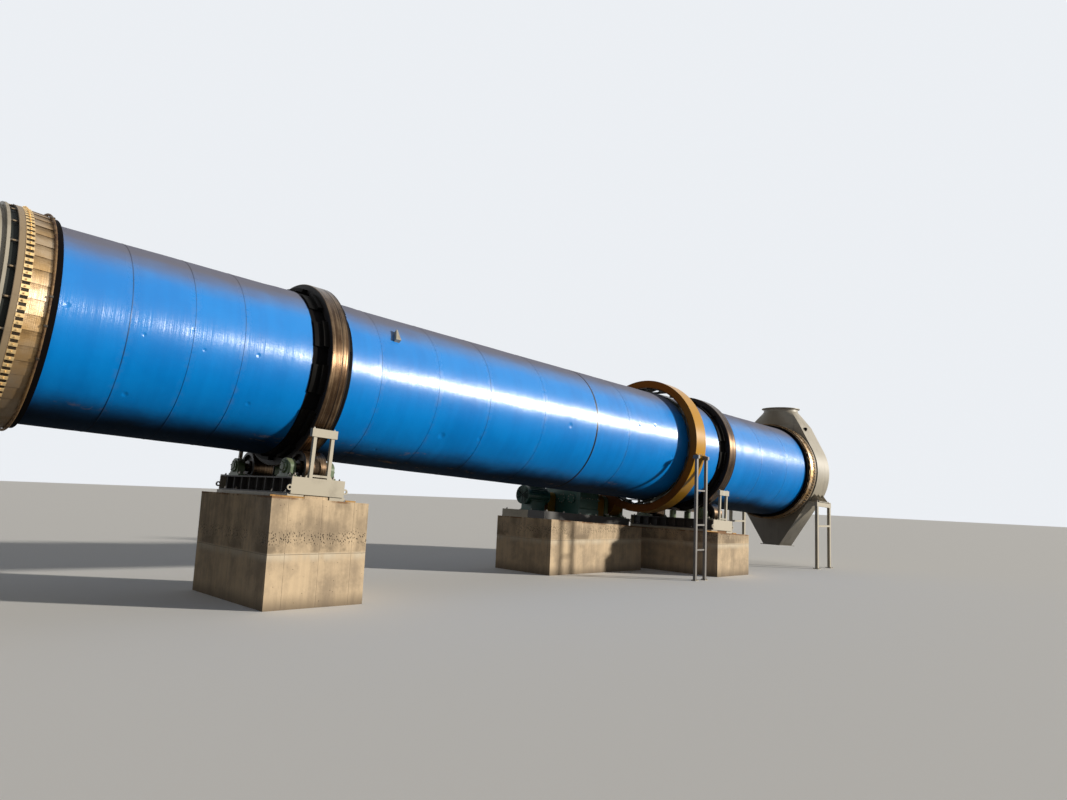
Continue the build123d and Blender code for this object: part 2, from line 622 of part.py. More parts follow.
with BuildPart() as thrust_housings:
    for side in (-1, 1):
        with BuildSketch(deck(TYRE_SPAN + side * THRUST_REACH, 0, BASE_TOP)):
            Circle(THRUST_HOUSING_RADIUS)
            Circle(THRUST_SHAFT_RADIUS + BEARING_GAP, mode=Mode.SUBTRACT)
        extrude(amount=BASE_TOP - THRUST_HOUSING_TOP)
save(thrust_housings, "thrust_housings")

# Pinion on its shaft, with the coupling half that drives it
PINION_SHAFT_START = REDUCER_END + RUNNING_GAP
PINION_SHAFT_END = GEAR_STATION + (PINION_BEARING_SPACING + PINION_BEARING_WIDTH) / 2 - SHAFT_END_INSET
with BuildPart() as pinion:
    with BuildSketch(across(GEAR_STATION - PINION_WIDTH / 2, PINION_SIDE, PINION_DROP)):
        Circle(PINION_PITCH_RADIUS - DEDENDUM * MODULE)
        with PolarLocations(0, PINION_TEETH, start_angle=PINION_DIRECTION + 180 + 180 / PINION_TEETH):
            Polygon(*tooth(PINION_TEETH, 4), align=None)
    extrude(amount=PINION_WIDTH)
    with BuildSketch(across(PINION_SHAFT_START, PINION_SIDE, PINION_DROP)):
        Circle(PINION_SHAFT_RADIUS)
    extrude(amount=PINION_SHAFT_END - PINION_SHAFT_START)
    with BuildSketch(across(PINION_SHAFT_START, PINION_SIDE, PINION_DROP)):
        Circle(COUPLING_RADIUS)
    extrude(amount=COUPLING_LENGTH)
save(pinion, "pinion")

# Gear guard: a sheet-metal ring that bulges round the pinion, in two halves
GUARD_START = GEAR_STATION - GUARD_WIDTH / 2
PINION_SPOT = (PINION_SIDE, -PINION_DROP)


def guard_outline(inset, mode=Mode.ADD):
    """The guard's outline: the ring and the pinion cover, moved inwards by an inset."""
    Circle(GUARD_RADIUS - inset, mode=mode)
    with Locations(PINION_SPOT):
        Circle(PINION_COVER_RADIUS - inset, mode=mode)


with BuildPart() as whole_guard:
    with BuildSketch(across(GUARD_START)):
        guard_outline(0)
        guard_outline(GUARD_SHEET, Mode.SUBTRACT)
        with PolarLocations(GUARD_RADIUS + GUARD_JOINT / 2 - GUARD_SHEET / 2, 2, start_angle=GUARD_SPLIT):
            Rectangle(GUARD_JOINT + GUARD_SHEET, 2 * GUARD_SHEET)
    extrude(amount=GUARD_WIDTH)
    for side in (-1, 1):
        face = GEAR_STATION + side * GUARD_WIDTH / 2
        with BuildSketch(across(face)):
            guard_outline(0)
            Circle(GUARD_OPENING, mode=Mode.SUBTRACT)
            with Locations(PINION_SPOT):
                Circle(PINION_SHAFT_RADIUS + RUNNING_GAP, mode=Mode.SUBTRACT)
        extrude(amount=-side * GUARD_SHEET)
        with BuildSketch(across(face)):
            Circle(GUARD_OPENING + GUARD_SHEET)
            Circle(GUARD_OPENING, mode=Mode.SUBTRACT)
        extrude(amount=-side * GUARD_LIP)

joint_normal = RISE * cos(radians(GUARD_SPLIT)) - SIDEWAYS * sin(radians(GUARD_SPLIT))
guard_joint = Plane(origin=ORIGIN, x_dir=DOWNHILL, z_dir=joint_normal)
for half, keep in (("upper", Keep.TOP), ("lower", Keep.BOTTOM)):
    with BuildPart() as guard_half:
        add(whole_guard.part)
        split(bisect_by=guard_joint, keep=keep)
    save(guard_half, f"gear_guard_{half}")

# Guard posts: a ladder on the near side from the ground, and a short pair on the drive's base
GEAR_X = GEAR_STATION * cos(radians(SLOPE))
DRIVE_BASE_TOP = PIER_DROP - DRIVE_BASE_HEIGHT
for name, side, rungs in (("near", -1, POST_RUNGS), ("far", 1, POST_RUNGS[-1:])):
    with BuildPart() as posts:
        post_feet = [(GEAR_X + POST_SHIFT + end * POST_SPACING / 2, side * POST_OFFSET) for end in (-1, 1)]
        if side < 0:
            ground = Plane.XY
        else:
            ground = deck(GEAR_STATION, 0, DRIVE_BASE_TOP)
        with BuildSketch():
            with Locations(*post_feet):
                Rectangle(POST_SECTION, POST_SECTION)
        extrude(amount=POST_TOP)
        split(bisect_by=ground, keep=Keep.TOP)
        for height in rungs:
            with BuildSketch(Plane.XY.offset(height)):
                with Locations((GEAR_X + POST_SHIFT, side * POST_OFFSET)):
                    Rectangle(POST_SPACING, RUNG_SECTION)
            extrude(amount=RUNG_SECTION)
        for end in (-1, 1):
            cleat = (POST_SHIFT + end * POST_SPACING / 2) + GEAR_STATION
            with BuildSketch(across(cleat - POST_SECTION / 2)):
                with Locations((side * (GUARD_RADIUS + POST_OFFSET) / 2, CLEAT_LEVEL)):
                    Rectangle(POST_OFFSET - GUARD_RADIUS + 2 * CLEAT_HEIGHT, CLEAT_HEIGHT)
                Circle(GUARD_RADIUS + SEAT_GAP, mode=Mode.SUBTRACT)
            extrude(amount=POST_SECTION)
    save(posts, f"guard_posts_{name}")


def bolt_ring(inner, outer):
    """A flange ring with bolt holes on its middle circle."""
    Circle(outer)
    Circle(inner, mode=Mode.SUBTRACT)
    with PolarLocations((inner + outer) / 2, FLANGE_HOLES):
        Circle(FLANGE_HOLE_RADIUS, mode=Mode.SUBTRACT)


# Feed hood: a drum of sheet metal with a stiff rim at its open end
HOOD_STATION = DISCHARGE_SEAL_STATION + SEAL_RING_WIDTH + SEAL_RECESS
FEED_HOOD_END = FEED_SEAL_STATION - SEAL_RING_WIDTH - SEAL_RECESS
FEED_HOOD_START = FEED_HOOD_END - FEED_HOOD_LENGTH
FEED_HOOD_INSIDE = FEED_HOOD_RADIUS - FEED_HOOD_SHEET
FEED_GOAL_STATION = (FEED_HOOD_START + FEED_HOOD_END) / 2
FOOT_DROP = (ORIGIN + DOWNHILL * (HOOD_STATION + HOOD_WIDTH / 2)).Z / cos(radians(SLOPE)) - FOOT_HEIGHT
with BuildPart() as feed_hood:
    with BuildSketch(radial(90)):
        band(FEED_HOOD_START, FEED_HOOD_END, FEED_HOOD_INSIDE, FEED_HOOD_RADIUS)
        band(FEED_HOOD_END - HOOD_RIM_WIDTH, FEED_HOOD_END, FEED_HOOD_INSIDE,
             FEED_HOOD_RADIUS + HOOD_RIM_HEIGHT)
    revolve(axis=DRUM_AXIS)
    with BuildSketch(across(FEED_GOAL_STATION - GOAL_LENGTH / 2)):
        with Locations((0, -FOOT_DROP + FOOT_PLATE / 2)):
            Rectangle(2 * (HOOD_RADIUS + FOOT_REACH), FOOT_PLATE)
        Circle(FEED_HOOD_INSIDE, mode=Mode.SUBTRACT)
    extrude(amount=GOAL_LENGTH)
save(feed_hood, "feed_hood")

# Feed mouth: the hood's end wall with a flanged collar
with BuildPart() as feed_mouth:
    with BuildSketch(across(FEED_HOOD_START - FEED_HOOD_SHEET)):
        Circle(FEED_HOOD_RADIUS)
        Circle(MOUTH_RADIUS, mode=Mode.SUBTRACT)
    extrude(amount=FEED_HOOD_SHEET)
    with BuildSketch(radial(90)):
        band(FEED_HOOD_START - MOUTH_LENGTH, FEED_HOOD_START, MOUTH_RADIUS, MOUTH_RADIUS + FEED_HOOD_SHEET)
    revolve(axis=DRUM_AXIS)
    with BuildSketch(across(FEED_HOOD_START - MOUTH_LENGTH)):
        bolt_ring(MOUTH_RADIUS, MOUTH_RADIUS + FEED_HOOD_SHEET + FLANGE_WIDTH)
    extrude(amount=FLANGE_THICKNESS)
save(feed_mouth, "feed_mouth")

# Seals: a ring that stands off the hood on studs, with a crown of leaves round the wear band
SEAL_RING_INNER = SEAL_RING_RADIUS - SEAL_RING_DEPTH
STUD_CIRCLE = (FEED_HOOD_RADIUS + SEAL_RING_RADIUS) / 2
for place, root, side in (("feed", FEED_SEAL_STATION, -1), ("discharge", DISCHARGE_SEAL_STATION, 1)):
    ring_back = root + side * SEAL_RING_WIDTH
    hood_face = ring_back + side * SEAL_RECESS
    with BuildPart() as seal_ring:
        with BuildSketch(radial(90)):
            band(root, ring_back, SEAL_RING_INNER, SEAL_RING_RADIUS)
            band(root, hood_face, SEAL_RING_INNER, SEAL_RING_INNER + LEAF_SHEET)
        revolve(axis=DRUM_AXIS)
        with BuildSketch(across(ring_back)):
            with PolarLocations(STUD_CIRCLE, STUD_COUNT):
                Circle(STUD_RADIUS)
        extrude(amount=side * SEAL_RECESS)
    save(seal_ring, f"seal_ring_{place}")

    tip = root - side * LEAF_LENGTH
    slot_start = root - side * LEAF_ROOT
    profile = [
        (root, LEAF_ROOT_RADIUS),
        (tip, LEAF_TIP_RADIUS),
        (tip, LEAF_TIP_RADIUS - LEAF_SHEET),
        (root, LEAF_ROOT_RADIUS - LEAF_SHEET),
    ]
    with BuildPart() as leaves:
        with BuildSketch(radial(90)):
            Polygon(*profile, align=None)
        revolve(axis=DRUM_AXIS)
        with BuildSketch(across(slot_start)):
            with PolarLocations(LEAF_ROOT_RADIUS, LEAF_COUNT):
                Rectangle(SLOT_DEPTH, LEAF_SLOT)
        extrude(amount=-side * LEAF_LENGTH, mode=Mode.SUBTRACT)
    save(leaves, f"seal_leaves_{place}")

# Discharge hood: two flat faces joined by a side band, drawn in to a spigot above and a chute below
HOOD_MIDDLE = HOOD_STATION + HOOD_WIDTH / 2
SPIGOT_RISE = (SPIGOT_HEIGHT - on_axis(HOOD_MIDDLE).Z) / cos(radians(SLOPE))


def tangent_point(radius, corner):
    """Where the line from a corner touches a circle round the axis, on the corner's outer side."""
    swing = acos(radius / hypot(*corner))
    if corner[1] > 0:
        angle = atan2(corner[1], corner[0]) - swing
    else:
        angle = atan2(corner[1], corner[0]) + swing
    return (radius * cos(angle), radius * sin(angle))


def side_line(radius, corner, level):
    """How far the hood's side is from its middle, at a level on the straight part."""
    touch = tangent_point(radius, corner)
    share = (level - touch[1]) / (corner[1] - touch[1])
    return touch[0] + share * (corner[0] - touch[0])


def hood_outline(inset, overrun, mode=Mode.ADD):
    """The hood's outline, moved inwards by an inset, its open ends moved outwards by an overrun."""
    radius = HOOD_RADIUS - inset
    Circle(radius, mode=mode)
    for corner, end in (((SPIGOT_RADIUS - inset, SPIGOT_RISE), HOOD_SHOULDER + overrun),
                        ((CHUTE_HALF_WIDTH - inset, -CHUTE_DROP), -CHUTE_DROP - overrun)):
        touch = tangent_point(radius, corner)
        half = side_line(radius, corner, end)
        Polygon(touch, (half, end), (-half, end), (-touch[0], touch[1]), align=None, mode=mode)


SHOULDER_HALF = side_line(HOOD_RADIUS, (SPIGOT_RADIUS, SPIGOT_RISE), HOOD_SHOULDER)
FACE_DEPTH = HOOD_WIDTH - 2 * HOOD_SHEET
with BuildPart() as discharge_hood:
    with BuildSketch(across(HOOD_STATION + HOOD_SHEET)):
        hood_outline(0, 0)
        with Locations((0, -FOOT_DROP + FOOT_PLATE / 2)):
            Rectangle(2 * (HOOD_RADIUS + FOOT_REACH), FOOT_PLATE)
        hood_outline(HOOD_SHEET, 1, Mode.SUBTRACT)
    extrude(amount=FACE_DEPTH)
save(discharge_hood, "discharge_hood")

with BuildPart() as discharge_hood_face:
    with BuildSketch(across(HOOD_STATION)):
        hood_outline(0, 0)
        Circle(HOOD_HOLE_RADIUS, mode=Mode.SUBTRACT)
    extrude(amount=HOOD_SHEET)
save(discharge_hood_face, "discharge_hood_face")

with BuildPart() as discharge_hood_back:
    with BuildSketch(across(HOOD_STATION + HOOD_WIDTH - HOOD_SHEET)):
        hood_outline(0, 0)
    extrude(amount=HOOD_SHEET)
save(discharge_hood_back, "discharge_hood_back")

# Spigot: a transition from the hood's rectangular top to a round collar with a flange
SPIGOT_CENTRE = on_axis(HOOD_MIDDLE) + RISE * SPIGOT_RISE
COLLAR_FOOT = Plane(origin=SPIGOT_CENTRE - Vector(0, 0, SPIGOT_COLLAR))
with BuildPart() as discharge_spigot:
    for inset, mode in ((0, Mode.ADD), (HOOD_SHEET, Mode.SUBTRACT)):
        with BuildSketch(deck(HOOD_MIDDLE, 0, -HOOD_SHOULDER)):
            Rectangle(HOOD_WIDTH - 2 * inset, 2 * SHOULDER_HALF - 2 * inset)
        with BuildSketch(COLLAR_FOOT):
            with BuildLine():
                for quarter in range(4):
                    CenterArc((0, 0), SPIGOT_RADIUS - inset, 45 + 90 * quarter, 90)
            make_face()
        loft(ruled=True, mode=mode)
        with BuildSketch(COLLAR_FOOT):
            Circle(SPIGOT_RADIUS - inset)
        extrude(amount=SPIGOT_COLLAR, mode=mode)
    with BuildSketch(Plane(origin=SPIGOT_CENTRE)):
        bolt_ring(SPIGOT_RADIUS - HOOD_SHEET, SPIGOT_RADIUS + FLANGE_WIDTH)
    extrude(amount=-FLANGE_THICKNESS)
save(discharge_spigot, "discharge_spigot")

# Chute flange at the hood's foot
with BuildPart() as chute_flange:
    with BuildSketch(deck(HOOD_MIDDLE, 0, CHUTE_DROP)):
        Rectangle(HOOD_WIDTH + 2 * FLANGE_WIDTH, 2 * (CHUTE_HALF_WIDTH + FLANGE_WIDTH))
        Rectangle(HOOD_WIDTH - 2 * HOOD_SHEET, 2 * (CHUTE_HALF_WIDTH - HOOD_SHEET), mode=Mode.SUBTRACT)
    extrude(amount=-FLANGE_THICKNESS)
save(chute_flange, "chute_flange")

# Goalposts under the feet of both hoods
for place, station in (("feed", FEED_GOAL_STATION), ("discharge", HOOD_MIDDLE)):
    middle = on_axis(station) - RISE * FOOT_DROP
    beam_top = [(middle + DOWNHILL * end * GOAL_LENGTH / 2) for end in (-1, 1)]
    slope = tan(radians(SLOPE))
    with BuildPart() as goalposts:
        for side in (-1, 1):
            with BuildSketch(Plane.XZ.offset(-side * (HOOD_RADIUS - GOAL_INSIDE))):
                beam = [(point.X, point.Z) for point in beam_top]
                beam += [(x, z - GOAL_BEAM) for x, z in reversed(beam)]
                Polygon(*beam, align=None)
                for end in (-1, 1):
                    outer = middle.X + end * (GOAL_LENGTH / 2 - GOAL_INSET)
                    inner = outer - end * GOAL_SECTION
                    level = middle.Z - GOAL_BEAM / 2
                    leg = [(outer, 0), (inner, 0)]
                    leg += [(x, level - (x - middle.X) * slope) for x in (inner, outer)]
                    Polygon(*leg, align=None)
                with Locations((middle.X, middle.Z * GOAL_RUNG_SHARE)):
                    Rectangle(GOAL_LENGTH - GOAL_SECTION, GOAL_RUNG)
            extrude(amount=GOAL_SECTION / 2, both=True)
    save(goalposts, f"goalposts_{place}")

# Drive base: a welded frame on the drive pier
with BuildPart() as drive_base:
    centre = DRIVE_BASE_START + DRIVE_BASE_LENGTH / 2
    middle = DRIVE_BASE_NEAR + DRIVE_BASE_WIDTH / 2
    with BuildSketch(deck(centre, middle, PIER_DROP)):
        Rectangle(DRIVE_BASE_LENGTH, DRIVE_BASE_WIDTH)
        bay = (DRIVE_BASE_LENGTH - (DRIVE_BASE_BAYS + 1) * DRIVE_BASE_RAIL) / DRIVE_BASE_BAYS
        with GridLocations(bay + DRIVE_BASE_RAIL, 0, DRIVE_BASE_BAYS, 1):
            Rectangle(bay, DRIVE_BASE_WIDTH - 2 * DRIVE_BASE_RAIL, mode=Mode.SUBTRACT)
    extrude(amount=DRIVE_BASE_HEIGHT - FLANGE_THICKNESS)
    with BuildSketch(deck(centre, middle, DRIVE_BASE_TOP + FLANGE_THICKNESS)):
        Rectangle(DRIVE_BASE_LENGTH, DRIVE_BASE_WIDTH)
    extrude(amount=FLANGE_THICKNESS)
save(drive_base, "drive_base")

# Pinion bearings
PINION_HEIGHT = DRIVE_BASE_TOP - PINION_DROP
with BuildPart() as pinion_bearings:
    for end in (-1, 1):
        face = GEAR_STATION + end * PINION_BEARING_SPACING / 2 - PINION_BEARING_WIDTH / 2
        with BuildSketch(across(face, PINION_SIDE, PINION_DROP)):
            Circle(PINION_BEARING_RADIUS)
            with Locations((0, -PINION_HEIGHT / 2)):
                Rectangle(2 * PINION_BEARING_RADIUS, PINION_HEIGHT)
            with Locations((0, FLANGE_THICKNESS - PINION_HEIGHT)):
                Rectangle(PINION_BEARING_FOOT, 2 * FLANGE_THICKNESS)
            Circle(PINION_SHAFT_RADIUS + BEARING_GAP, mode=Mode.SUBTRACT)
        extrude(amount=PINION_BEARING_WIDTH)
save(pinion_bearings, "pinion_bearings")

# Coupling guards: an arch over each coupling
INPUT_SIDE = PINION_SIDE + REDUCER_CENTRES
with BuildPart() as coupling_guards:
    with BuildSketch(across(PINION_SHAFT_START, PINION_SIDE, PINION_DROP)):
        Circle(COUPLING_GUARD_RADIUS)
        with Locations((0, -PINION_HEIGHT / 2)):
            Rectangle(2 * COUPLING_GUARD_RADIUS, PINION_HEIGHT)
        with Locations((0, -PINION_HEIGHT / 2)):
            Rectangle(2 * (COUPLING_GUARD_RADIUS - COUPLING_GUARD_SHEET), PINION_HEIGHT, mode=Mode.SUBTRACT)
        Circle(COUPLING_GUARD_RADIUS - COUPLING_GUARD_SHEET, mode=Mode.SUBTRACT)
    extrude(amount=COUPLING_LENGTH)
    with BuildSketch(across(MOTOR_END, INPUT_SIDE, PINION_DROP)):
        Circle(INPUT_COVER_RADIUS)
        with Locations((0, -PINION_HEIGHT / 2)):
            Rectangle(2 * INPUT_COVER_RADIUS, PINION_HEIGHT)
    extrude(amount=REDUCER_START - MOTOR_END)
save(coupling_guards, "coupling_guards")

# Speed reducer
with BuildPart() as reducer:
    body_middle = PINION_SIDE + REDUCER_CENTRES / 2
    body_width = REDUCER_CENTRES + 2 * REDUCER_BELOW
    reducer_middle = REDUCER_START + REDUCER_LENGTH / 2
    with BuildSketch(across(REDUCER_START + REDUCER_FLANGE, body_middle, PINION_DROP)):
        with Locations((0, (REDUCER_ABOVE - REDUCER_BELOW) / 2)):
            RectangleRounded(body_width, REDUCER_ABOVE + REDUCER_BELOW, REDUCER_CORNER)
    extrude(amount=REDUCER_LENGTH - 2 * REDUCER_FLANGE)
    with BuildSketch(deck(reducer_middle, body_middle, PINION_DROP + REDUCER_FLANGE / 2)):
        Rectangle(REDUCER_LENGTH, body_width + 2 * REDUCER_FLANGE)
    extrude(amount=REDUCER_FLANGE)
    with BuildSketch(deck(reducer_middle, body_middle, DRIVE_BASE_TOP)):
        Rectangle(REDUCER_LENGTH, body_width)
    extrude(amount=PINION_HEIGHT - REDUCER_BELOW + REDUCER_FLANGE)
    for spot in (PINION_SIDE, INPUT_SIDE, body_middle):
        with BuildSketch(across(REDUCER_START, spot, PINION_DROP)):
            Circle(COUPLING_RADIUS - REDUCER_FLANGE)
        extrude(amount=REDUCER_LENGTH)
save(reducer, "reducer")

# Motor: a finned frame on two feet
with BuildPart() as motor:
    with BuildSketch(across(MOTOR_START, INPUT_SIDE, PINION_DROP)):
        Circle(MOTOR_RADIUS - MOTOR_FIN_HEIGHT)
    extrude(amount=MOTOR_LENGTH)
    with BuildSketch(across(MOTOR_START + MOTOR_COWL, INPUT_SIDE, PINION_DROP)):
        with PolarLocations(MOTOR_RADIUS - MOTOR_FIN_HEIGHT, MOTOR_FINS):
            Rectangle(2 * MOTOR_FIN_HEIGHT, MOTOR_FIN)
    extrude(amount=MOTOR_LENGTH - MOTOR_COWL - MOTOR_SHIELD)
    with BuildSketch(across(MOTOR_START, INPUT_SIDE, PINION_DROP)):
        Circle(MOTOR_RADIUS)
    extrude(amount=MOTOR_COWL)
    with BuildSketch(deck(MOTOR_START + MOTOR_LENGTH / 2, INPUT_SIDE, DRIVE_BASE_TOP)):
        with GridLocations(0, MOTOR_FOOT_SPACING, 1, 2):
            Rectangle(MOTOR_FOOT_LENGTH, MOTOR_FOOT_WIDTH)
        with GridLocations(MOTOR_FOOT_LENGTH - MOTOR_FIN_HEIGHT, 0, 2, 1):
            Rectangle(MOTOR_FIN_HEIGHT, MOTOR_FOOT_SPACING)
    extrude(amount=PINION_HEIGHT)
save(motor, "motor")
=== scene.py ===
"""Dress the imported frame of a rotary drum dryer: finishes, small fittings and a plain studio.

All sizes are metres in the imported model's frame: X downhill along the drum, Y to the drive side,
Z up.  What belongs to the drum is placed by its station, the distance along the drum's axis from
the middle of the feed tyre, and by its turn, the angle round that axis from +Y towards the top.
"""
from __future__ import annotations

import json
import logging
import math
from collections.abc import Sequence
from dataclasses import dataclass
from enum import Enum
from typing import Any

import bmesh
import bpy
import numpy as np
from mathutils import Matrix, Vector

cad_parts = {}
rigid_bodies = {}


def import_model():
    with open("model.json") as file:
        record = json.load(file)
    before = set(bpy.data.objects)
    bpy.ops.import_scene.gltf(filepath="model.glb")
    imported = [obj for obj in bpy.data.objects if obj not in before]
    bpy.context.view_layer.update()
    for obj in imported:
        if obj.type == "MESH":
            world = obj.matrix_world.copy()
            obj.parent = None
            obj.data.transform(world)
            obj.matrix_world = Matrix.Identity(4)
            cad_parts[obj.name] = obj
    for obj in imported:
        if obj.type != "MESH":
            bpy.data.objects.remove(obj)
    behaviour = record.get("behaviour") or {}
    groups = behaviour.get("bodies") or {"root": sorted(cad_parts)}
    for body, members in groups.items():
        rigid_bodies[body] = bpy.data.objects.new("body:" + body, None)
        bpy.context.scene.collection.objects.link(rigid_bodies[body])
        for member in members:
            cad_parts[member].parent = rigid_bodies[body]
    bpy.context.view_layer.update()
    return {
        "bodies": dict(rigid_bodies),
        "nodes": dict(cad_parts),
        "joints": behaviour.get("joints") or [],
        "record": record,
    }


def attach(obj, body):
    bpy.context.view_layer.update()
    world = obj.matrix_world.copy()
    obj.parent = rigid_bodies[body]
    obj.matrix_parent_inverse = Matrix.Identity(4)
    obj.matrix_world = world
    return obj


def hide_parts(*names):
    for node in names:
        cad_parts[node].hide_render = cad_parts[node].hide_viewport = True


Array = np.ndarray
Colour = tuple[float, float, float]
log = logging.getLogger("dryer")


class Slot(Enum):
    """The record's material slots, by name; the pieces made here don't take them."""

    DRUM = "drum_paint"
    BARE = "bare_steel"
    SEAL = "seal_stainless"
    HOOD = "hood_paint"
    FRAME = "frame_paint"
    BEARING = "bearing_paint"
    DRIVE = "drive_paint"
    CONCRETE = "concrete"


class Facing(Enum):
    """Which way a fitting's own z axis looks on the drum."""

    OUTWARD = "away from the drum's axis"
    UPHILL = "uphill along the drum's axis"
    DOWNHILL = "downhill along the drum's axis"


@dataclass(frozen=True)
class DrumAxis:
    """The drum's sloping axis, and places given by station, turn and radius.

    Attributes:
        height: height of the axis above the ground at station 0.
        slope: fall of the axis towards +X, in radians.
    """

    height: float = 4.020
    slope: float = math.radians(2.7)

    @property
    def downhill(self) -> Array:
        """The unit vector along the axis."""
        return np.array([math.cos(self.slope), 0.0, -math.sin(self.slope)])

    @property
    def rise(self) -> Array:
        """The unit vector square to the axis, upwards."""
        return np.array([math.sin(self.slope), 0.0, math.cos(self.slope)])

    def outward(self, turn: Array) -> Array:
        """Unit vectors away from the axis: side times cos(turn) plus rise times sin(turn).

        Args:
            turn: angles from +Y towards the top, in radians.

        Returns:
            The vectors, in one more dimension than the angles.
        """
        turn = np.asarray(turn, float)[..., None]
        return np.array([0.0, 1.0, 0.0]) * np.cos(turn) + self.rise * np.sin(turn)

    def place(self, station: Array | float, turn: Array | float, radius: Array | float) -> Array:
        """Points at stations, turns and radii, which are broadcast together.

        Args:
            station: distances along the axis from the feed tyre's middle.
            turn: angles from +Y towards the top, in radians.
            radius: distances from the axis.

        Returns:
            The points, in one more dimension than the arguments.
        """
        station, turn, radius = np.broadcast_arrays(station, turn, radius)
        start = np.array([0.0, 0.0, self.height])
        return start + self.downhill * station[..., None] + self.outward(turn) * radius[..., None]

    def deck(self, station: Array | float, side: Array | float, drop: Array | float) -> Array:
        """Points below the axis: a side step along Y and a drop square to the axis.

        Args:
            station: distances along the axis.
            side: distances towards the drive side.
            drop: distances below the axis.

        Returns:
            The points, in one more dimension than the arguments.
        """
        station, side, drop = np.broadcast_arrays(station, side, drop)
        start = np.array([0.0, 0.0, self.height])
        across = np.array([0.0, 1.0, 0.0]) * side[..., None]
        return start + self.downhill * station[..., None] + across - self.rise * drop[..., None]


AXIS = DrumAxis()
PLATE_RADIUS = 1.500
ALONG = np.array([1.0, 0.0, 0.0])
ACROSS = np.array([0.0, 1.0, 0.0])
UPRIGHT = np.array([0.0, 0.0, 1.0])


@dataclass
class Solid:
    """A mesh as arrays.

    Attributes:
        points: corner points, one row each.
        faces: index arrays, one for each count of corners.
    """

    points: Array
    faces: list[Array]

    def placed(self, turns: Array, places: Array) -> "Solid":
        """Copies of this solid, one for each frame: every point is turned, then moved.

        Args:
            turns: one 3 by 3 matrix for each copy, its columns the copy's own axes.
            places: one point for each copy.

        Returns:
            All the copies as one solid.
        """
        turns = np.asarray(turns, float).reshape(-1, 3, 3)
        places = np.asarray(places, float).reshape(-1, 3)
        points = np.einsum("nij,pj->npi", turns, self.points) + places[:, None]
        return family(points, self.faces)

    def on_deck(self, places: Array) -> "Solid":
        """Copies of this solid that stand square to the drum's slope, their x axes downhill."""
        return self.placed(*upright_frames(places, AXIS.downhill, AXIS.rise))

    def joined(self, *others: "Solid") -> "Solid":
        """This solid and others as one.

        Args:
            others: the solids to add.

        Returns:
            All of them as one solid.
        """
        points = [self.points]
        faces = list(self.faces)
        total = len(self.points)
        for other in others:
            points.append(other.points)
            faces += [corners + total for corners in other.faces]
            total += len(other.points)
        return Solid(np.vstack(points), faces)


def family(points: Array, faces: Sequence[Array]) -> Solid:
    """Solids that share one set of faces: each copy's corners are numbered after the last one's.

    Args:
        points: the copies' points, as copies by points by 3.
        faces: index arrays of one copy.

    Returns:
        All the copies as one solid.
    """
    steps = np.arange(len(points)) * points.shape[1]
    grown = [(corners[None] + steps[:, None, None]).reshape(-1, corners.shape[1]) for corners in faces]
    return Solid(points.reshape(-1, 3), grown)


def merged(solids: Sequence[Solid]) -> Solid:
    """Several solids as one, in their order."""
    return solids[0].joined(*solids[1:])


def lattice(points: Array, wrap_rows: bool = False, wrap_columns: bool = False) -> Solid:
    """Join a grid of points: each face takes a point and its next neighbours on both parameters.

    Args:
        points: rows by columns by 3.
        wrap_rows: join the last row to the first.
        wrap_columns: join the last column to the first.

    Returns:
        The surface.
    """
    rows, columns = points.shape[:2]
    numbers = np.arange(rows * columns).reshape(rows, columns)
    if wrap_rows:
        numbers = np.vstack([numbers, numbers[:1]])
    if wrap_columns:
        numbers = np.hstack([numbers, numbers[:, :1]])
    quads = np.stack([numbers[:-1, :-1], numbers[:-1, 1:], numbers[1:, 1:], numbers[1:, :-1]], axis=-1)
    return Solid(points.reshape(-1, 3), [quads.reshape(-1, 4)])


def loft(rings: Array) -> Solid:
    """A closed solid through rings of points, capped at its first and last ring.

    Args:
        rings: rings by points by 3.

    Returns:
        The solid.
    """
    body = lattice(rings, wrap_columns=True)
    count = rings.shape[1]
    last = (len(rings) - 1) * count
    caps = np.stack([np.arange(count)[::-1], last + np.arange(count)])
    return Solid(body.points, body.faces + [caps])


def polygon(count: int, radius: float, start: float = 0.0) -> Array:
    """A regular polygon: (cos, sin) of evenly spaced angles, times a radius."""
    angle = round_turns(count, start)
    return np.stack([np.cos(angle), np.sin(angle)], axis=-1) * radius


def prism(outline: Array, low: float, high: float, edge: float = 0.0) -> Solid:
    """A prism along z on an outline whose ends are drawn in by an edge: scale is 1 - edge / reach.

    Args:
        outline: corner points round the z axis, as points by 2.
        low: level of the foot.
        high: level of the top.
        edge: width of the chamfer at the top.

    Returns:
        The solid.
    """
    reach = float(np.linalg.norm(outline, axis=1).max())
    levels = np.array([low, high - edge, high])
    scales = np.array([1.0, 1.0, 1.0 - edge / reach])
    if edge == 0.0:
        levels, scales = levels[[0, 2]], scales[[0, 2]]
    flat = outline[None] * scales[:, None, None]
    height = np.broadcast_to(levels[:, None, None], flat.shape[:2] + (1,))
    return loft(np.concatenate([flat, height], axis=-1))


def block(size: Sequence[float], edge: float = 0.0) -> Solid:
    """A plate on the z = 0 plane, centred on z, with a chamfered top edge.

    Args:
        size: length, width and height.
        edge: width of the chamfer.

    Returns:
        The solid.
    """
    half = np.array([size[0], size[1]]) / 2
    corners = np.array([(1, 1), (-1, 1), (-1, -1), (1, -1)]) * half
    levels = [0.0, size[2] - edge, size[2]] if edge else [0.0, size[2]]
    draws = [0.0, 0.0, edge] if edge else [0.0, 0.0]
    rings = [np.column_stack([corners - np.sign(corners) * draw, np.full(4, level)])
             for level, draw in zip(levels, draws)]
    return loft(np.array(rings))


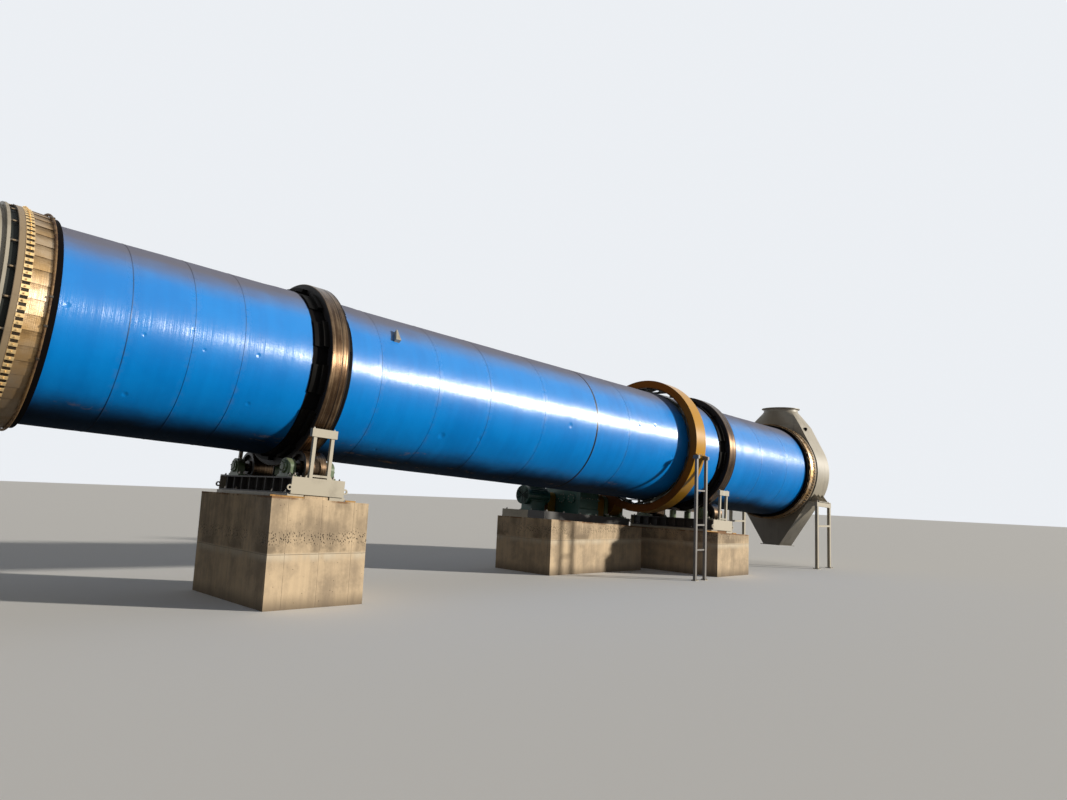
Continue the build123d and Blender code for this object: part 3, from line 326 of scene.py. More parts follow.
def bolt(across: float) -> Solid:
    """A hexagon nut on a washer with its stud's end, in shares of the size across the flats.

    Args:
        across: size across the flats.

    Returns:
        The solid, its foot at z = 0.
    """
    washer_top, nut_top, stud_top = 0.14 * across, 0.90 * across, 1.25 * across
    washer = prism(polygon(14, 0.95 * across), 0.0, washer_top)
    nut = prism(polygon(6, 0.577 * across), washer_top, nut_top, 0.07 * across)
    stud = prism(polygon(8, 0.30 * across), nut_top, stud_top, 0.06 * across)
    return washer.joined(nut, stud)


def plate(outline: Array, thickness: float) -> Solid:
    """A flat plate on an outline in the x and z plane: the outline at y = plus and minus half.

    Args:
        outline: corner points, as x and z.
        thickness: size along y.

    Returns:
        The solid.
    """
    outline = np.asarray(outline, float)
    rings = [np.column_stack([outline[:, 0], np.full(len(outline), y), outline[:, 1]])
             for y in (-thickness / 2, thickness / 2)]
    return loft(np.array(rings))


def hoop(radius: float, thick: float, low: float) -> Solid:
    """A square ring round the z axis: a small square carried round a circle, its foot at low.

    Args:
        radius: radius of the ring's middle.
        thick: side of the square.
        low: level of its foot.

    Returns:
        The surface.
    """
    turns = round_turns(48)
    reach = radius + np.array([-1.0, 1.0, 1.0, -1.0]) * thick / 2
    level = low + np.array([0.0, 0.0, 1.0, 1.0]) * thick
    around = np.stack([np.cos(turns), np.sin(turns)], axis=-1)[:, None] * reach[None, :, None]
    height = np.broadcast_to(level[None, :, None], (len(turns), 4, 1))
    return lattice(np.concatenate([around, height], axis=-1), wrap_rows=True, wrap_columns=True)


def round_turns(count: int, start: float = 0.0) -> Array:
    """Evenly spaced angles round a circle, in radians."""
    return start + np.arange(count) * math.tau / count


def drum_frames(station: Array | float, turn: Array | float, radius: Array | float,
                facing: Facing = Facing.OUTWARD) -> tuple[Array, Array]:
    """Frames for fittings on the drum or its hoods.

    Args:
        station: distances along the axis.
        turn: angles from +Y towards the top, in radians.
        radius: distances from the axis.
        facing: which way the fittings' z axis looks.

    Returns:
        One matrix and one point for each fitting.
    """
    places = AXIS.place(station, turn, radius).reshape(-1, 3)
    turn = np.broadcast_to(turn, np.broadcast(station, turn, radius).shape).reshape(-1)
    out = AXIS.outward(turn)
    along = np.broadcast_to(AXIS.downhill, out.shape)
    if facing is Facing.OUTWARD:
        first, last = along, out
    else:
        first, last = out, along * (1.0 if facing is Facing.DOWNHILL else -1.0)
    return np.stack([first, np.cross(last, first), last], axis=-1), places


def upright_frames(places: Array, heading: Array, top: Array) -> tuple[Array, Array]:
    """Frames that share their axes: x along a heading, z along a top direction.

    Args:
        places: points by 3.
        heading: the x axis.
        top: the z axis.

    Returns:
        One matrix and one point for each place.
    """
    places = np.asarray(places, float).reshape(-1, 3)
    matrix = np.stack([heading, np.cross(top, heading), top], axis=-1)
    return np.broadcast_to(matrix, (len(places), 3, 3)), places


def bolt_circle(centre: Array, facing: Array, circle: Array, depth: float = 0.0) -> Solid:
    """Bolts round a cover that stands square to the drum's axis.

    Args:
        centre: the cover's middle.
        facing: which way the cover looks along the drum.
        circle: the bolts' places round the middle, as rise and side.
        depth: how far in front of the middle the bolts' feet are.

    Returns:
        The bolts as one solid.
    """
    places = centre + AXIS.rise * circle[:, :1] + ACROSS * circle[:, 1:] + facing * depth
    return bolt(0.018).placed(*upright_frames(places, AXIS.rise, facing))


class Term:
    """A number in a material's nodes, which Python's operators work on."""

    def __init__(self, nodes: "Nodes", socket: bpy.types.NodeSocket) -> None:
        """Wrap a value socket of a node tree."""
        self.nodes = nodes
        self.socket = socket

    def _sum(self, operation: str, *values: Any) -> "Term":
        """The result of one Math node.

        Args:
            operation: the node's operation.
            values: its inputs, terms or numbers.

        Returns:
            The node's output.
        """
        node = self.nodes.node("ShaderNodeMath", {"operation": operation}, dict(enumerate(values)))
        return Term(self.nodes, node.outputs[0])

    def __add__(self, other: Any) -> "Term":
        """This plus another."""
        return self._sum("ADD", self, other)

    __radd__ = __add__

    def __sub__(self, other: Any) -> "Term":
        """This less another."""
        return self._sum("SUBTRACT", self, other)

    def __rsub__(self, other: Any) -> "Term":
        """Another less this."""
        return self._sum("SUBTRACT", other, self)

    def __mul__(self, other: Any) -> "Term":
        """This times another."""
        return self._sum("MULTIPLY", self, other)

    __rmul__ = __mul__

    def __truediv__(self, other: Any) -> "Term":
        """This over another."""
        return self._sum("DIVIDE", self, other)

    def size(self) -> "Term":
        """Its absolute value."""
        return self._sum("ABSOLUTE", self)

    def root(self) -> "Term":
        """Its square root."""
        return self._sum("SQRT", self)

    def larger(self, other: Any) -> "Term":
        """The larger of this and another."""
        return self._sum("MAXIMUM", self, other)

    def saw(self, pitch: float) -> "Term":
        """Its distance from the nearest whole multiple of a pitch, in its own units."""
        return self._sum("PINGPONG", self, pitch / 2)

    def between(self, low: float, high: float) -> "Term":
        """A smooth step: 0 at low, 1 at high, which may be the lower of the two.

        Args:
            low: the value that gives 0.
            high: the value that gives 1.

        Returns:
            The step.
        """
        node = self.nodes.node("ShaderNodeMapRange", {"interpolation_type": "SMOOTHSTEP"},
                               {0: self, 1: low, 2: high, 3: 0.0, 4: 1.0})
        return Term(self.nodes, node.outputs[0])


class Nodes:
    """A node tree, to which nodes are added by type, settings and inputs."""

    def __init__(self, owner: bpy.types.Material | bpy.types.World) -> None:
        """Empty the owner's node tree.

        Args:
            owner: the material or the world.
        """
        owner.use_nodes = True
        self.tree = owner.node_tree
        self.tree.nodes.clear()

    def node(self, kind: str, settings: dict[str, Any] | None = None,
             inputs: dict[Any, Any] | None = None) -> bpy.types.Node:
        """Add a node: its settings first, then its sockets' values or links.

        Args:
            kind: the node's type.
            settings: its properties.
            inputs: values, sockets or terms by socket name or number.

        Returns:
            The node.
        """
        made = self.tree.nodes.new(kind)
        for key, value in (settings or {}).items():
            setattr(made, key, value)
        for key, value in (inputs or {}).items():
            self.feed(made.inputs[key], value)
        return made

    def feed(self, socket: bpy.types.NodeSocket, value: Any) -> None:
        """Link a term or a socket to a socket, or set a value on it.

        Args:
            socket: the input to fill.
            value: a term, a socket, a colour or a number.
        """
        if isinstance(value, Term):
            self.tree.links.new(value.socket, socket)
        elif isinstance(value, bpy.types.NodeSocket):
            self.tree.links.new(value, socket)
        elif isinstance(value, tuple) and socket.type == "RGBA":
            socket.default_value = (*value, 1.0)
        else:
            socket.default_value = value

    def in_sight(self) -> Term:
        """1 for rays from the camera, from mirrors and through glass, and 0 for the rest.

        Returns:
            The mask.
        """
        path = self.node("ShaderNodeLightPath").outputs
        seen = Term(self, path["Is Camera Ray"])
        return seen.larger(Term(self, path["Is Glossy Ray"])).larger(Term(self, path["Is Transmission Ray"]))


class Shader(Nodes):
    """One material's nodes, with a Principled surface at their end."""

    def __init__(self, name: str) -> None:
        """Start an empty material under a name.

        Args:
            name: the material's name.
        """
        self.material = bpy.data.materials.new(name)
        super().__init__(self.material)
        self.output = self.node("ShaderNodeOutputMaterial")
        self.place = self.node("ShaderNodeTexCoord").outputs["Object"]

    def split(self, vector: bpy.types.NodeSocket) -> tuple[Term, Term, Term]:
        """The three parts of a vector."""
        parts = self.node("ShaderNodeSeparateXYZ", inputs={0: vector}).outputs
        return Term(self, parts[0]), Term(self, parts[1]), Term(self, parts[2])

    def vector(self, x: Any, y: Any, z: Any) -> bpy.types.NodeSocket:
        """A vector from three numbers."""
        return self.node("ShaderNodeCombineXYZ", inputs={0: x, 1: y, 2: z}).outputs[0]

    def stretched(self, scale: Sequence[float]) -> bpy.types.NodeSocket:
        """The shaded point with each of its axes scaled.

        Args:
            scale: a factor for each axis.

        Returns:
            The scaled point.
        """
        node = self.node("ShaderNodeMapping", {"vector_type": "POINT"},
                         {"Vector": self.place, "Scale": Vector(scale)})
        return node.outputs[0]

    def noise(self, scale: float, detail: float = 3.0, roughness: float = 0.5,
              at: bpy.types.NodeSocket | None = None) -> Term:
        """Fractal noise from 0 to 1.

        Args:
            scale: features in a metre.
            detail: octaves.
            roughness: share of each finer octave.
            at: where it is read, or None for the shaded point.

        Returns:
            The noise.
        """
        node = self.node("ShaderNodeTexNoise", {"noise_dimensions": "3D"},
                         {"Vector": at or self.place, "Scale": scale, "Detail": detail,
                          "Roughness": roughness})
        return Term(self, node.outputs[0])

    def cells(self, scale: float, at: bpy.types.NodeSocket | None = None) -> Term:
        """The distance to the nearest of scattered points, in cells.

        Args:
            scale: points in a metre.
            at: where it is read, or None for the shaded point.

        Returns:
            The distance.
        """
        node = self.node("ShaderNodeTexVoronoi", {"feature": "F1"},
                         {"Vector": at or self.place, "Scale": scale})
        return Term(self, node.outputs["Distance"])

    def attribute(self, name: str) -> Term:
        """A number that the mesh carries."""
        return Term(self, self.node("ShaderNodeAttribute", {"attribute_name": name}).outputs["Fac"])

    def normal(self) -> tuple[Term, Term, Term]:
        """The three parts of the surface's normal."""
        return self.split(self.node("ShaderNodeNewGeometry").outputs["Normal"])

    def mix(self, under: Any, over: Any, share: Any) -> bpy.types.NodeSocket:
        """One colour over another.

        Args:
            under: the colour where the share is 0.
            over: the colour where the share is 1.
            share: a term or a number.

        Returns:
            The mixed colour.
        """
        node = self.node("ShaderNodeMix", {"data_type": "RGBA"}, {0: share, 6: under, 7: over})
        return node.outputs[2]

    def relief(self, height: Term) -> bpy.types.NodeSocket:
        """The normal of a surface with a relief in metres."""
        node = self.node("ShaderNodeBump", inputs={"Strength": 1.0, "Distance": 1.0, "Height": height})
        return node.outputs[0]

    def surface(self, **inputs: Any) -> bpy.types.NodeSocket:
        """A Principled surface, its sockets named with underscores for their spaces."""
        named = {key.replace("_", " "): value for key, value in inputs.items()}
        return self.node("ShaderNodeBsdfPrincipled", inputs=named).outputs[0]

    def close(self, surface: bpy.types.NodeSocket) -> bpy.types.Material:
        """End the material with a surface."""
        self.feed(self.output.inputs["Surface"], surface)
        return self.material

    def done(self, colour: Any, roughness: Any, metallic: Any = 0.0, height: Term | None = None,
             coat: Any = 0.0, coat_roughness: float = 0.1, specular: float = 0.5) -> bpy.types.Material:
        """Close the material with one Principled surface.

        Args:
            colour: base colour, or a socket.
            roughness: number or term.
            metallic: number or term.
            height: relief in metres.
            coat: weight of a clear coat, number or term.
            coat_roughness: how dull the coat is.
            specular: strength of the plain reflection.

        Returns:
            The material.
        """
        bump = {} if height is None else {"Normal": self.relief(height)}
        return self.close(self.surface(
            Base_Color=colour, Roughness=roughness, Metallic=metallic, Coat_Weight=coat,
            Coat_Roughness=coat_roughness, Specular_IOR_Level=specular, **bump))


class DrumPoint:
    """Where a shaded point lies on the drum, as terms.

    Attributes:
        station: distance along the axis.
        side: distance towards the drive side.
        rise: distance above the axis.
        radius: distance from the axis.
    """

    def __init__(self, shader: Shader) -> None:
        """Work the point out from its Object coordinates.

        Args:
            shader: the material that is shaded.
        """
        self.shader = shader
        x, y, z = shader.split(shader.place)
        up = z - AXIS.height
        self.station = x * math.cos(AXIS.slope) - up * math.sin(AXIS.slope)
        self.rise = x * math.sin(AXIS.slope) + up * math.cos(AXIS.slope)
        self.side = y
        self.radius = (y * y + self.rise * self.rise).root()

    @property
    def top(self) -> Term:
        """1 along the drum's top, 0 at its sides and -1 along its foot."""
        return self.rise / self.radius

    def endways(self) -> Term:
        """How squarely the surface looks along the drum's axis, from 0 to 1."""
        east, _, up = self.shader.normal()
        return (east * math.cos(AXIS.slope) - up * math.sin(AXIS.slope)).size()

    def noise(self, along: float, around: float, detail: float, roughness: float) -> Term:
        """Fractal noise that is drawn out along the drum or round it.

        Args:
            along: features in a metre along the axis.
            around: features in a metre square to it.
            detail: octaves.
            roughness: share of each finer octave.

        Returns:
            The noise.
        """
        at = self.shader.vector(self.station * along, self.side * around, self.rise * around)
        return self.shader.noise(1.0, detail, roughness, at)


@dataclass(frozen=True)
class DrumEnamel:
    """Glossy blue enamel, drawn out round the drum, with dust along the top and painted shade below, which
    also stands for grime there.

    Attributes:
        blue: the clean enamel.
        deep_blue: its darker clouds.
        painted_shade: painted shade along the underside, which also stands for grime there.
        dust: what lies along the top.
        sand: pale patches in the soot.
        grime: the dark lines of the seams.
        grease: the stretches beside the tyres.
        seams: station of each girth seam and how dark its line is, up to 1.
        course_edge: station of the open edge between two courses.
        tyres: stations of the tyres.
        bare_uphill: how far the greasy stretch reaches uphill of a tyre.
        bare_downhill: how far it reaches downhill.
        dents: station, turn in degrees and width of each small dent.
    """

    blue: Colour = (0.002, 0.268, 0.820)
    deep_blue: Colour = (0.001, 0.225, 0.725)
    painted_shade: Colour = (0.010, 0.016, 0.024)
    dust: Colour = (0.190, 0.175, 0.188)
    sand: Colour = (0.300, 0.205, 0.125)
    grime: Colour = (0.012, 0.011, 0.011)
    grease: Colour = (0.007, 0.006, 0.006)
    seams: tuple[tuple[float, float], ...] = (
        (-3.27, 0.75), (-2.37, 0.45), (-1.59, 0.40), (0.97, 0.35), (2.28, 0.12), (3.60, 0.55), (5.20, 0.15),
        (6.96, 0.80), (8.17, 0.30), (14.60, 0.15), (16.20, 0.15))
    course_edge: float = 6.952
    tyres: tuple[float, ...] = (0.0, 12.63)
    bare_uphill: float = 0.43
    bare_downhill: float = 0.34
    dents: tuple[tuple[float, float, float], ...] = (
        (-3.06, -176.0, 0.030), (-2.19, -174.5, 0.028), (-1.35, -178.0, 0.034), (-3.09, -140.0, 0.040),
        (-1.31, -147.0, 0.036), (-2.39, 175.0, 0.030), (-4.07, 177.0, 0.040), (-1.30, -114.0, 0.030),
        (1.40, -125.0, 0.030), (6.04, -175.0, 0.060), (8.58, 170.0, 0.050), (10.04, -165.0, 0.045),
        (2.62, -147.0, 0.070), (9.22, 167.0, 0.040), (3.55, -150.0, 0.050), (15.30, -170.0, 0.045),
    )

    def make(self) -> bpy.types.Material:
        """Build the material.

        Returns:
            The material.
        """
        shader = Shader("drum_enamel")
        point = DrumPoint(shader)
        top = point.top
        cloud = shader.noise(0.55, 5.0, 0.6)
        fine = shader.noise(9.0, 4.0, 0.6)
        hoop = point.noise(700.0, 1.0, 0.0, 0.5)
        band = point.noise(7.0, 0.3, 1.0, 0.5)
        drawn = point.noise(0.8, 4.0, 4.0, 0.6)
        shade = cloud * 0.5 + band * 0.2 + shader.noise(1.4, 4.0, 0.6) * 0.3
        colour = shader.mix(self.blue, self.deep_blue, shade.between(0.40, 0.62))
        line, zone = self._seam_marks(shader, point)
        scuff = zone * fine.between(0.40, 0.75) * 0.16
        colour = shader.mix(colour, self.dust, scuff)
        powder = (top + cloud * 0.20 + drawn * 0.14).between(0.64, 1.03) * 0.92
        colour = shader.mix(colour, self.dust, powder)
        # Painted shade: darker towards the bottom of the drum; it also stands for grime there.
        painted_shade_and_dirt = (top - cloud * 0.22 - drawn * 0.06 + 0.14).between(-0.68, -0.93)
        colour = shader.mix(colour, self.painted_shade, painted_shade_and_dirt * 0.97)
        patches = (drawn * 0.65 + fine * 0.35).between(0.58, 0.70) * top.between(-0.66, -0.84) * 0.45
        colour = shader.mix(colour, self.sand, patches)
        colour = shader.mix(colour, self.grime, line)
        bare = self._bare_marks(point, fine)
        colour = shader.mix(colour, self.grease, bare)
        cover = (powder + painted_shade_and_dirt + bare + patches).between(0.0, 1.0)
        gloss = (1.0 - cover) * (top.between(-0.45, 0.12) * 0.82 + 0.08)
        roughness = 0.40 + cover * 0.35 + scuff * 0.3
        height = (self._dent_relief(point) + hoop * 0.0006 + band * 0.0006 + cloud * 0.012
                  + shader.noise(140.0, 2.0) * 0.00006)
        relief = shader.relief(height)
        dull_skin, bright_skin = (
            shader.surface(Base_Color=colour, Roughness=rough, Specular_IOR_Level=shine, Normal=relief)
            for rough, shine in ((roughness, 0.05), (0.27 + scuff, 0.85)))
        mixed = shader.node("ShaderNodeMixShader", inputs={0: gloss, 1: dull_skin, 2: bright_skin})
        return shader.close(mixed.outputs[0])

    def _seam_marks(self, shader: Shader, point: DrumPoint) -> tuple[Term, Term]:
        """The dark line of every seam, broken by a noise, and the scuffed zone round it.

        Args:
            shader: the material.
            point: the shaded point on the drum.

        Returns:
            The mask of the lines and that of the zone.
        """
        line = (point.station - self.course_edge).size().between(0.030, 0.020)
        zone: Term = line * 0.0
        broken = shader.noise(1.6, 3.0, 0.6).between(0.25, 0.70) * 0.65 + 0.35
        for seam, dark in self.seams:
            away = (point.station - seam).size()
            line = line.larger(away.between(0.012, 0.006) * broken * dark)
            zone = zone.larger(away.between(0.10, 0.01))
        return line, zone

    def _bare_marks(self, point: DrumPoint, fine: Term) -> Term:
        """The greasy stretch beside each tyre, with a ragged edge.

        Args:
            point: the shaded point on the drum.
            fine: a fine noise that frays the edge.

        Returns:
            The mask.
        """
        middle = (self.bare_downhill - self.bare_uphill) / 2
        reach = (self.bare_downhill + self.bare_uphill) / 2
        marks = [((point.station - tyre - middle).size() + fine * 0.02).between(reach + 0.02, reach)
                 for tyre in self.tyres]
        return marks[0].larger(marks[1])

    def _dent_relief(self, point: DrumPoint) -> Term:
        """Small dents: each sinks smoothly within its width round its own point on the plate.

        Args:
            point: the shaded point on the drum.

        Returns:
            The relief, in metres.
        """
        relief: Term | None = None
        for station, degrees, width in self.dents:
            turn = math.radians(degrees)
            along = point.station - station
            side = point.side - PLATE_RADIUS * math.cos(turn)
            rise = point.rise - PLATE_RADIUS * math.sin(turn)
            away = (along * along + side * side + rise * rise).root()
            dent = away.between(width * 1.4, 0.0) * (-0.16 * width)
            relief = dent if relief is None else relief + dent
        return relief


@dataclass(frozen=True)
class TreadSteel:
    """Cast steel rings: greasy black sides and a tread rolled brown and bright, with painted shade along a
    banded tread's downhill edge.

    Attributes:
        name: the material's name.
        tread_radius: radius of the rolled face.
        middle: station of the ring's middle, for the greasy line that the rollers leave and the painted shade
            at the downhill edge.
        width: the ring's width, or 0 for a ring with no bands.
    """

    name: str
    tread_radius: float
    middle: float = 0.0
    width: float = 0.0
    side: Colour = (0.008, 0.007, 0.007)
    dust: Colour = (0.035, 0.027, 0.021)
    brown: Colour = (0.070, 0.040, 0.022)
    bright: Colour = (0.300, 0.205, 0.120)

    def make(self) -> bpy.types.Material:
        """Build the material.

        Returns:
            The material.
        """
        shader = Shader(self.name)
        point = DrumPoint(shader)
        tread = point.radius.between(self.tread_radius - 0.012, self.tread_radius - 0.003)
        hoops = point.noise(34.0, 0.8, 4.0, 0.65)
        blotch = shader.noise(3.2, 5.0, 0.6)
        fine = shader.noise(60.0, 3.0, 0.6)
        rolled = shader.mix(self.brown, self.bright, (hoops * 0.7 + blotch * 0.3).between(0.42, 0.66) * 0.8)
        # The greasy line, and painted shade along the tread's downhill edge.
        dark = self._grease_line_and_edge_shade(point) if self.width else blotch * 0.0
        rolled = shader.mix(rolled, self.side, dark)
        rim = point.radius.between(self.tread_radius - 0.045, self.tread_radius - 0.015) * 0.45
        grime = ((blotch * 0.8 + fine * 0.2).between(0.50, 0.74) * 0.4).larger(rim)
        greasy = shader.mix(self.side, self.dust, grime)
        colour = shader.mix(greasy, rolled, tread)
        roughness = 0.50 - tread * 0.28 + blotch * 0.14 + dark * 0.30
        metallic = tread * 0.90
        ripple = point.noise(320.0, 1.0, 0.0, 0.5)
        height = hoops * 0.0020 + ripple * 0.0012 + blotch * 0.0016 + fine * 0.00015
        return shader.done(colour, roughness, metallic, height, specular=0.22)

    def _grease_line_and_edge_shade(self, point: DrumPoint) -> Term:
        """The greasy line downhill of the polished band, and painted shade along the downhill edge, where the
        tread falls off.

        Args:
            point: the shaded point on the drum.

        Returns:
            The mask.
        """
        share = (point.station - self.middle) / self.width
        line = (share - 0.10).size().between(0.045, 0.025) * 0.75
        # Painted shade: the last stretch of the tread's downhill edge is darkened.
        return line.larger(share.between(0.36, 0.42) * 0.85)


@dataclass(frozen=True)
class Paint:
    """Machine paint with settled dust, stains, chips down to rust, a slight orange peel, and painted shade
    below a level.

    Attributes:
        name: the material's name.
        base: the paint's colour.
        dust: settled dust on what looks upwards.
        stain: dirt that the noise spreads.
        rust: what shows through chips.
        painted_shade: what darkens the paint low down.
        gloss: roughness of the clean paint.
        dirt: share of stains.
        chips: share of rust, from 0 to 1.
        painted_shade_level: height above the ground below which the painted shade darkens the paint.
    """

    name: str
    base: Colour
    dust: Colour = (0.300, 0.255, 0.200)
    stain: Colour = (0.090, 0.065, 0.045)
    rust: Colour = (0.150, 0.055, 0.022)
    painted_shade: Colour = (0.030, 0.027, 0.024)
    gloss: float = 0.35
    dirt: float = 0.40
    chips: float = 0.25
    painted_shade_level: float = -9.0

    def make(self) -> bpy.types.Material:
        """Build the material.

        Returns:
            The material.
        """
        shader = Shader(self.name)
        _, _, up = shader.normal()
        broad = shader.noise(1.1, 5.0, 0.62)
        runs = shader.noise(1.0, 4.0, 0.6, shader.stretched((7.0, 7.0, 0.55)))
        fine = shader.noise(26.0, 4.0, 0.65)
        colour = shader.mix(self.base, tuple(channel * 0.72 for channel in self.base),
                            (broad + runs * 0.4 - 0.2).between(0.35, 0.75) * 0.6)
        stains = (broad * 0.4 + runs * 0.6).between(0.50, 0.78) * self.dirt
        colour = shader.mix(colour, self.stain, stains)
        settled = up.between(0.25, 0.95) * (broad * 0.5 + fine * 0.5).between(0.25, 0.65) * 0.65
        colour = shader.mix(colour, self.dust, settled)
        eased = 0.12 * self.chips
        bare = (fine * 0.55 + broad * 0.45).between(0.685 - eased, 0.725 - eased)
        colour = shader.mix(colour, self.rust, bare * 0.9)
        _, _, height_above = shader.split(shader.place)
        # Painted shade: the paint darkens below its level, as on the discharge chute.
        painted_shade_share = (height_above + broad * 0.9 - 0.45).between(self.painted_shade_level, self.painted_shade_level - 1.0) * 0.75
        colour = shader.mix(colour, self.painted_shade, painted_shade_share)
        roughness = self.gloss + stains * 0.5 + settled * 0.6 + bare * 0.35 + fine * 0.06
        height = bare * -0.0002 + shader.noise(170.0, 2.0) * 0.00008 + broad * 0.002
        return shader.done(colour, roughness, 0.0, height)


@dataclass(frozen=True)
class BaseEnd(Paint):
    """Frame paint on the outer ends, with greasy black steel between them, under the drum."""

    grease: Colour = (0.018, 0.015, 0.013)
    half_width: float = 1.40

    def make(self) -> bpy.types.Material:
        """Build the material.

        Returns:
            The material.
        """
        shader = Shader(self.name)
        _, side, _ = shader.split(shader.place)
        _, _, up = shader.normal()
        broad = shader.noise(1.6, 5.0, 0.62)
        fine = shader.noise(30.0, 4.0, 0.65)
        painted = shader.mix(self.base, self.stain, broad.between(0.5, 0.8) * self.dirt)
        greasy = shader.mix(self.grease, self.dust, up.between(0.3, 0.9) * broad.between(0.4, 0.7) * 0.5)
        edge = (side.size() + fine * 0.02).between(self.half_width + 0.005, self.half_width + 0.015)
        colour = shader.mix(greasy, painted, edge)
        roughness = 0.45 + broad * 0.2
        return shader.done(colour, roughness, 0.0, fine * 0.0003)


@dataclass(frozen=True)
class GuardPaint:
    """Ochre enamel: glossy on the rim; the flat faces darker and browner as painted shade with some dust, the
    lower part darkened as painted shade, and grease near the inner edge and in spots.
    """

    ochre: Colour = (0.540, 0.265, 0.006)
    painted_shade_and_dirt: Colour = (0.340, 0.105, 0.010)
    dirt: Colour = (0.030, 0.019, 0.011)

    def make(self) -> bpy.types.Material:
        """Build the material.

        Returns:
            The material.
        """
        shader = Shader("guard_enamel")
        point = DrumPoint(shader)
        facing = point.endways().between(0.5, 0.9)
        broad = shader.noise(1.5, 5.0, 0.6)
        drops = shader.noise(24.0, 4.0, 0.7)
        top = point.top
        # Painted shade: the flat faces that look along the drum are darker and browner; this also stands for
        # dust on them.
        colour = shader.mix(self.ochre, self.painted_shade_and_dirt, facing * (0.75 + broad * 0.4))
        # Painted shade: the guard's lower part is darkened.
        colour = shader.mix(colour, self.dirt, top.between(-0.40, -0.80) * (0.40 + broad * 0.4))
        inner = point.radius.between(1.74, 1.64) * (broad * 0.6 + drops * 0.6)
        colour = shader.mix(colour, self.dirt, inner.between(0.25, 0.85) * 0.8)
        spots = (drops * 0.7 + broad * 0.3).between(0.62, 0.70)
        colour = shader.mix(colour, self.dirt, spots * 0.6)
        roughness = 0.24 + facing * 0.25 + broad * 0.10 + spots * 0.2
        height = broad * 0.003 + shader.noise(150.0, 2.0) * 0.00008
        coat = (1.0 - facing) * 0.35
        return shader.done(colour, roughness, 0.0, height, coat=coat, coat_roughness=0.20, specular=0.12)


@dataclass(frozen=True)
class LeafSteel:
    """Stainless strip, brushed along the drum, brown and gold from heat, with painted shadow along the edge
    that the next leaf covers and painted shade low down.

    Attributes:
        steel: the clean metal.
        gold: where heat has tinted it.
        brown: where it is burnt, also used for the painted shadow along one edge of a leaf and the painted
            shade low down.
        painted_gap_shade: painted shade that shows between the clamp tabs.
        gap_stations: middle of the tabs at each end.
    """

    steel: Colour = (0.620, 0.500, 0.360)
    gold: Colour = (0.500, 0.310, 0.130)
    brown: Colour = (0.055, 0.033, 0.016)
    painted_gap_shade: Colour = (0.010, 0.007, 0.004)
    gap_stations: tuple[float, float] = (-4.586, 17.888)

    def make(self) -> bpy.types.Material:
        """Build the material.

        Returns:
            The material.
        """
        shader = Shader("leaf_steel")
        point = DrumPoint(shader)
        top = point.top
        tint = shader.attribute("tint")
        across = shader.attribute("across")
        grain = point.noise(5.0, 110.0, 4.0, 0.6)
        broad = shader.noise(2.4, 4.0, 0.6)
        colour = shader.mix(self.steel, self.gold, (tint * 0.25 + broad * 0.9).between(0.30, 0.80))
        # The across term darkens the edge that the next leaf covers: painted shadow, along with heat stains.
        burnt = grain * 0.45 + broad * 0.40 + tint * 0.10 - across * 0.16 + top.between(0.5, 0.9) * 0.12
        burnt = burnt.between(0.38, 0.74)
        # Painted shade: the leaves darken towards the bottom.
        low = (top + broad * 0.4).between(0.10, -0.60)
        colour = shader.mix(colour, self.brown, (burnt * 0.75).larger(low * 0.65))
        # Painted shade in a band under the clamp tabs, which shows between them.
        marks = [(point.station - station).size().between(0.047, 0.041) for station in self.gap_stations]
        painted_gap_shade = marks[0].larger(marks[1])
        colour = shader.mix(colour, self.painted_gap_shade, painted_gap_shade * 0.95)
        ripple = point.noise(320.0, 1.0, 0.0, 0.5)
        roughness = 0.36 + grain * 0.12 + burnt * 0.10 + painted_gap_shade * 0.2
        height = grain * 0.0014 + ripple * 0.0014
        return shader.done(colour, roughness, (0.90 - low * 0.45) * (1.0 - painted_gap_shade), height, specular=0.2)


@dataclass(frozen=True)
class RingPaint:
    """Grey flange paint outside, and painted shade in the recess inside the ring."""

    grey: Colour = (0.300, 0.225, 0.140)
    painted_shade: Colour = (0.008, 0.011, 0.009)
    stain: Colour = (0.130, 0.095, 0.065)
    outside: float = 1.600
    edges: tuple[float, ...] = (-4.722, -4.642, 17.944, 18.024)

    def make(self) -> bpy.types.Material:
        """Build the material.

        Returns:
            The material.
        """
        shader = Shader("ring_paint")
        point = DrumPoint(shader)
        broad = shader.noise(2.2, 5.0, 0.62)
        fine = shader.noise(30.0, 4.0, 0.65)
        colour = shader.mix(self.grey, self.stain, (broad * 0.7 + fine * 0.3).between(0.48, 0.72) * 0.55)
        inside = (point.radius + fine * 0.01).between(self.outside + 0.008, self.outside)
        for station in self.edges:
            rim = (point.station - station).size() + fine * 0.006
            colour = shader.mix(colour, self.stain, rim.between(0.014, 0.006) * 0.8)
        # Painted shade: the recess inside the ring is darkened.
        colour = shader.mix(colour, self.painted_shade, inside)
        return shader.done(colour, 0.42 + broad * 0.15 + inside * 0.2, 0.0, fine * 0.0002, specular=0.35)


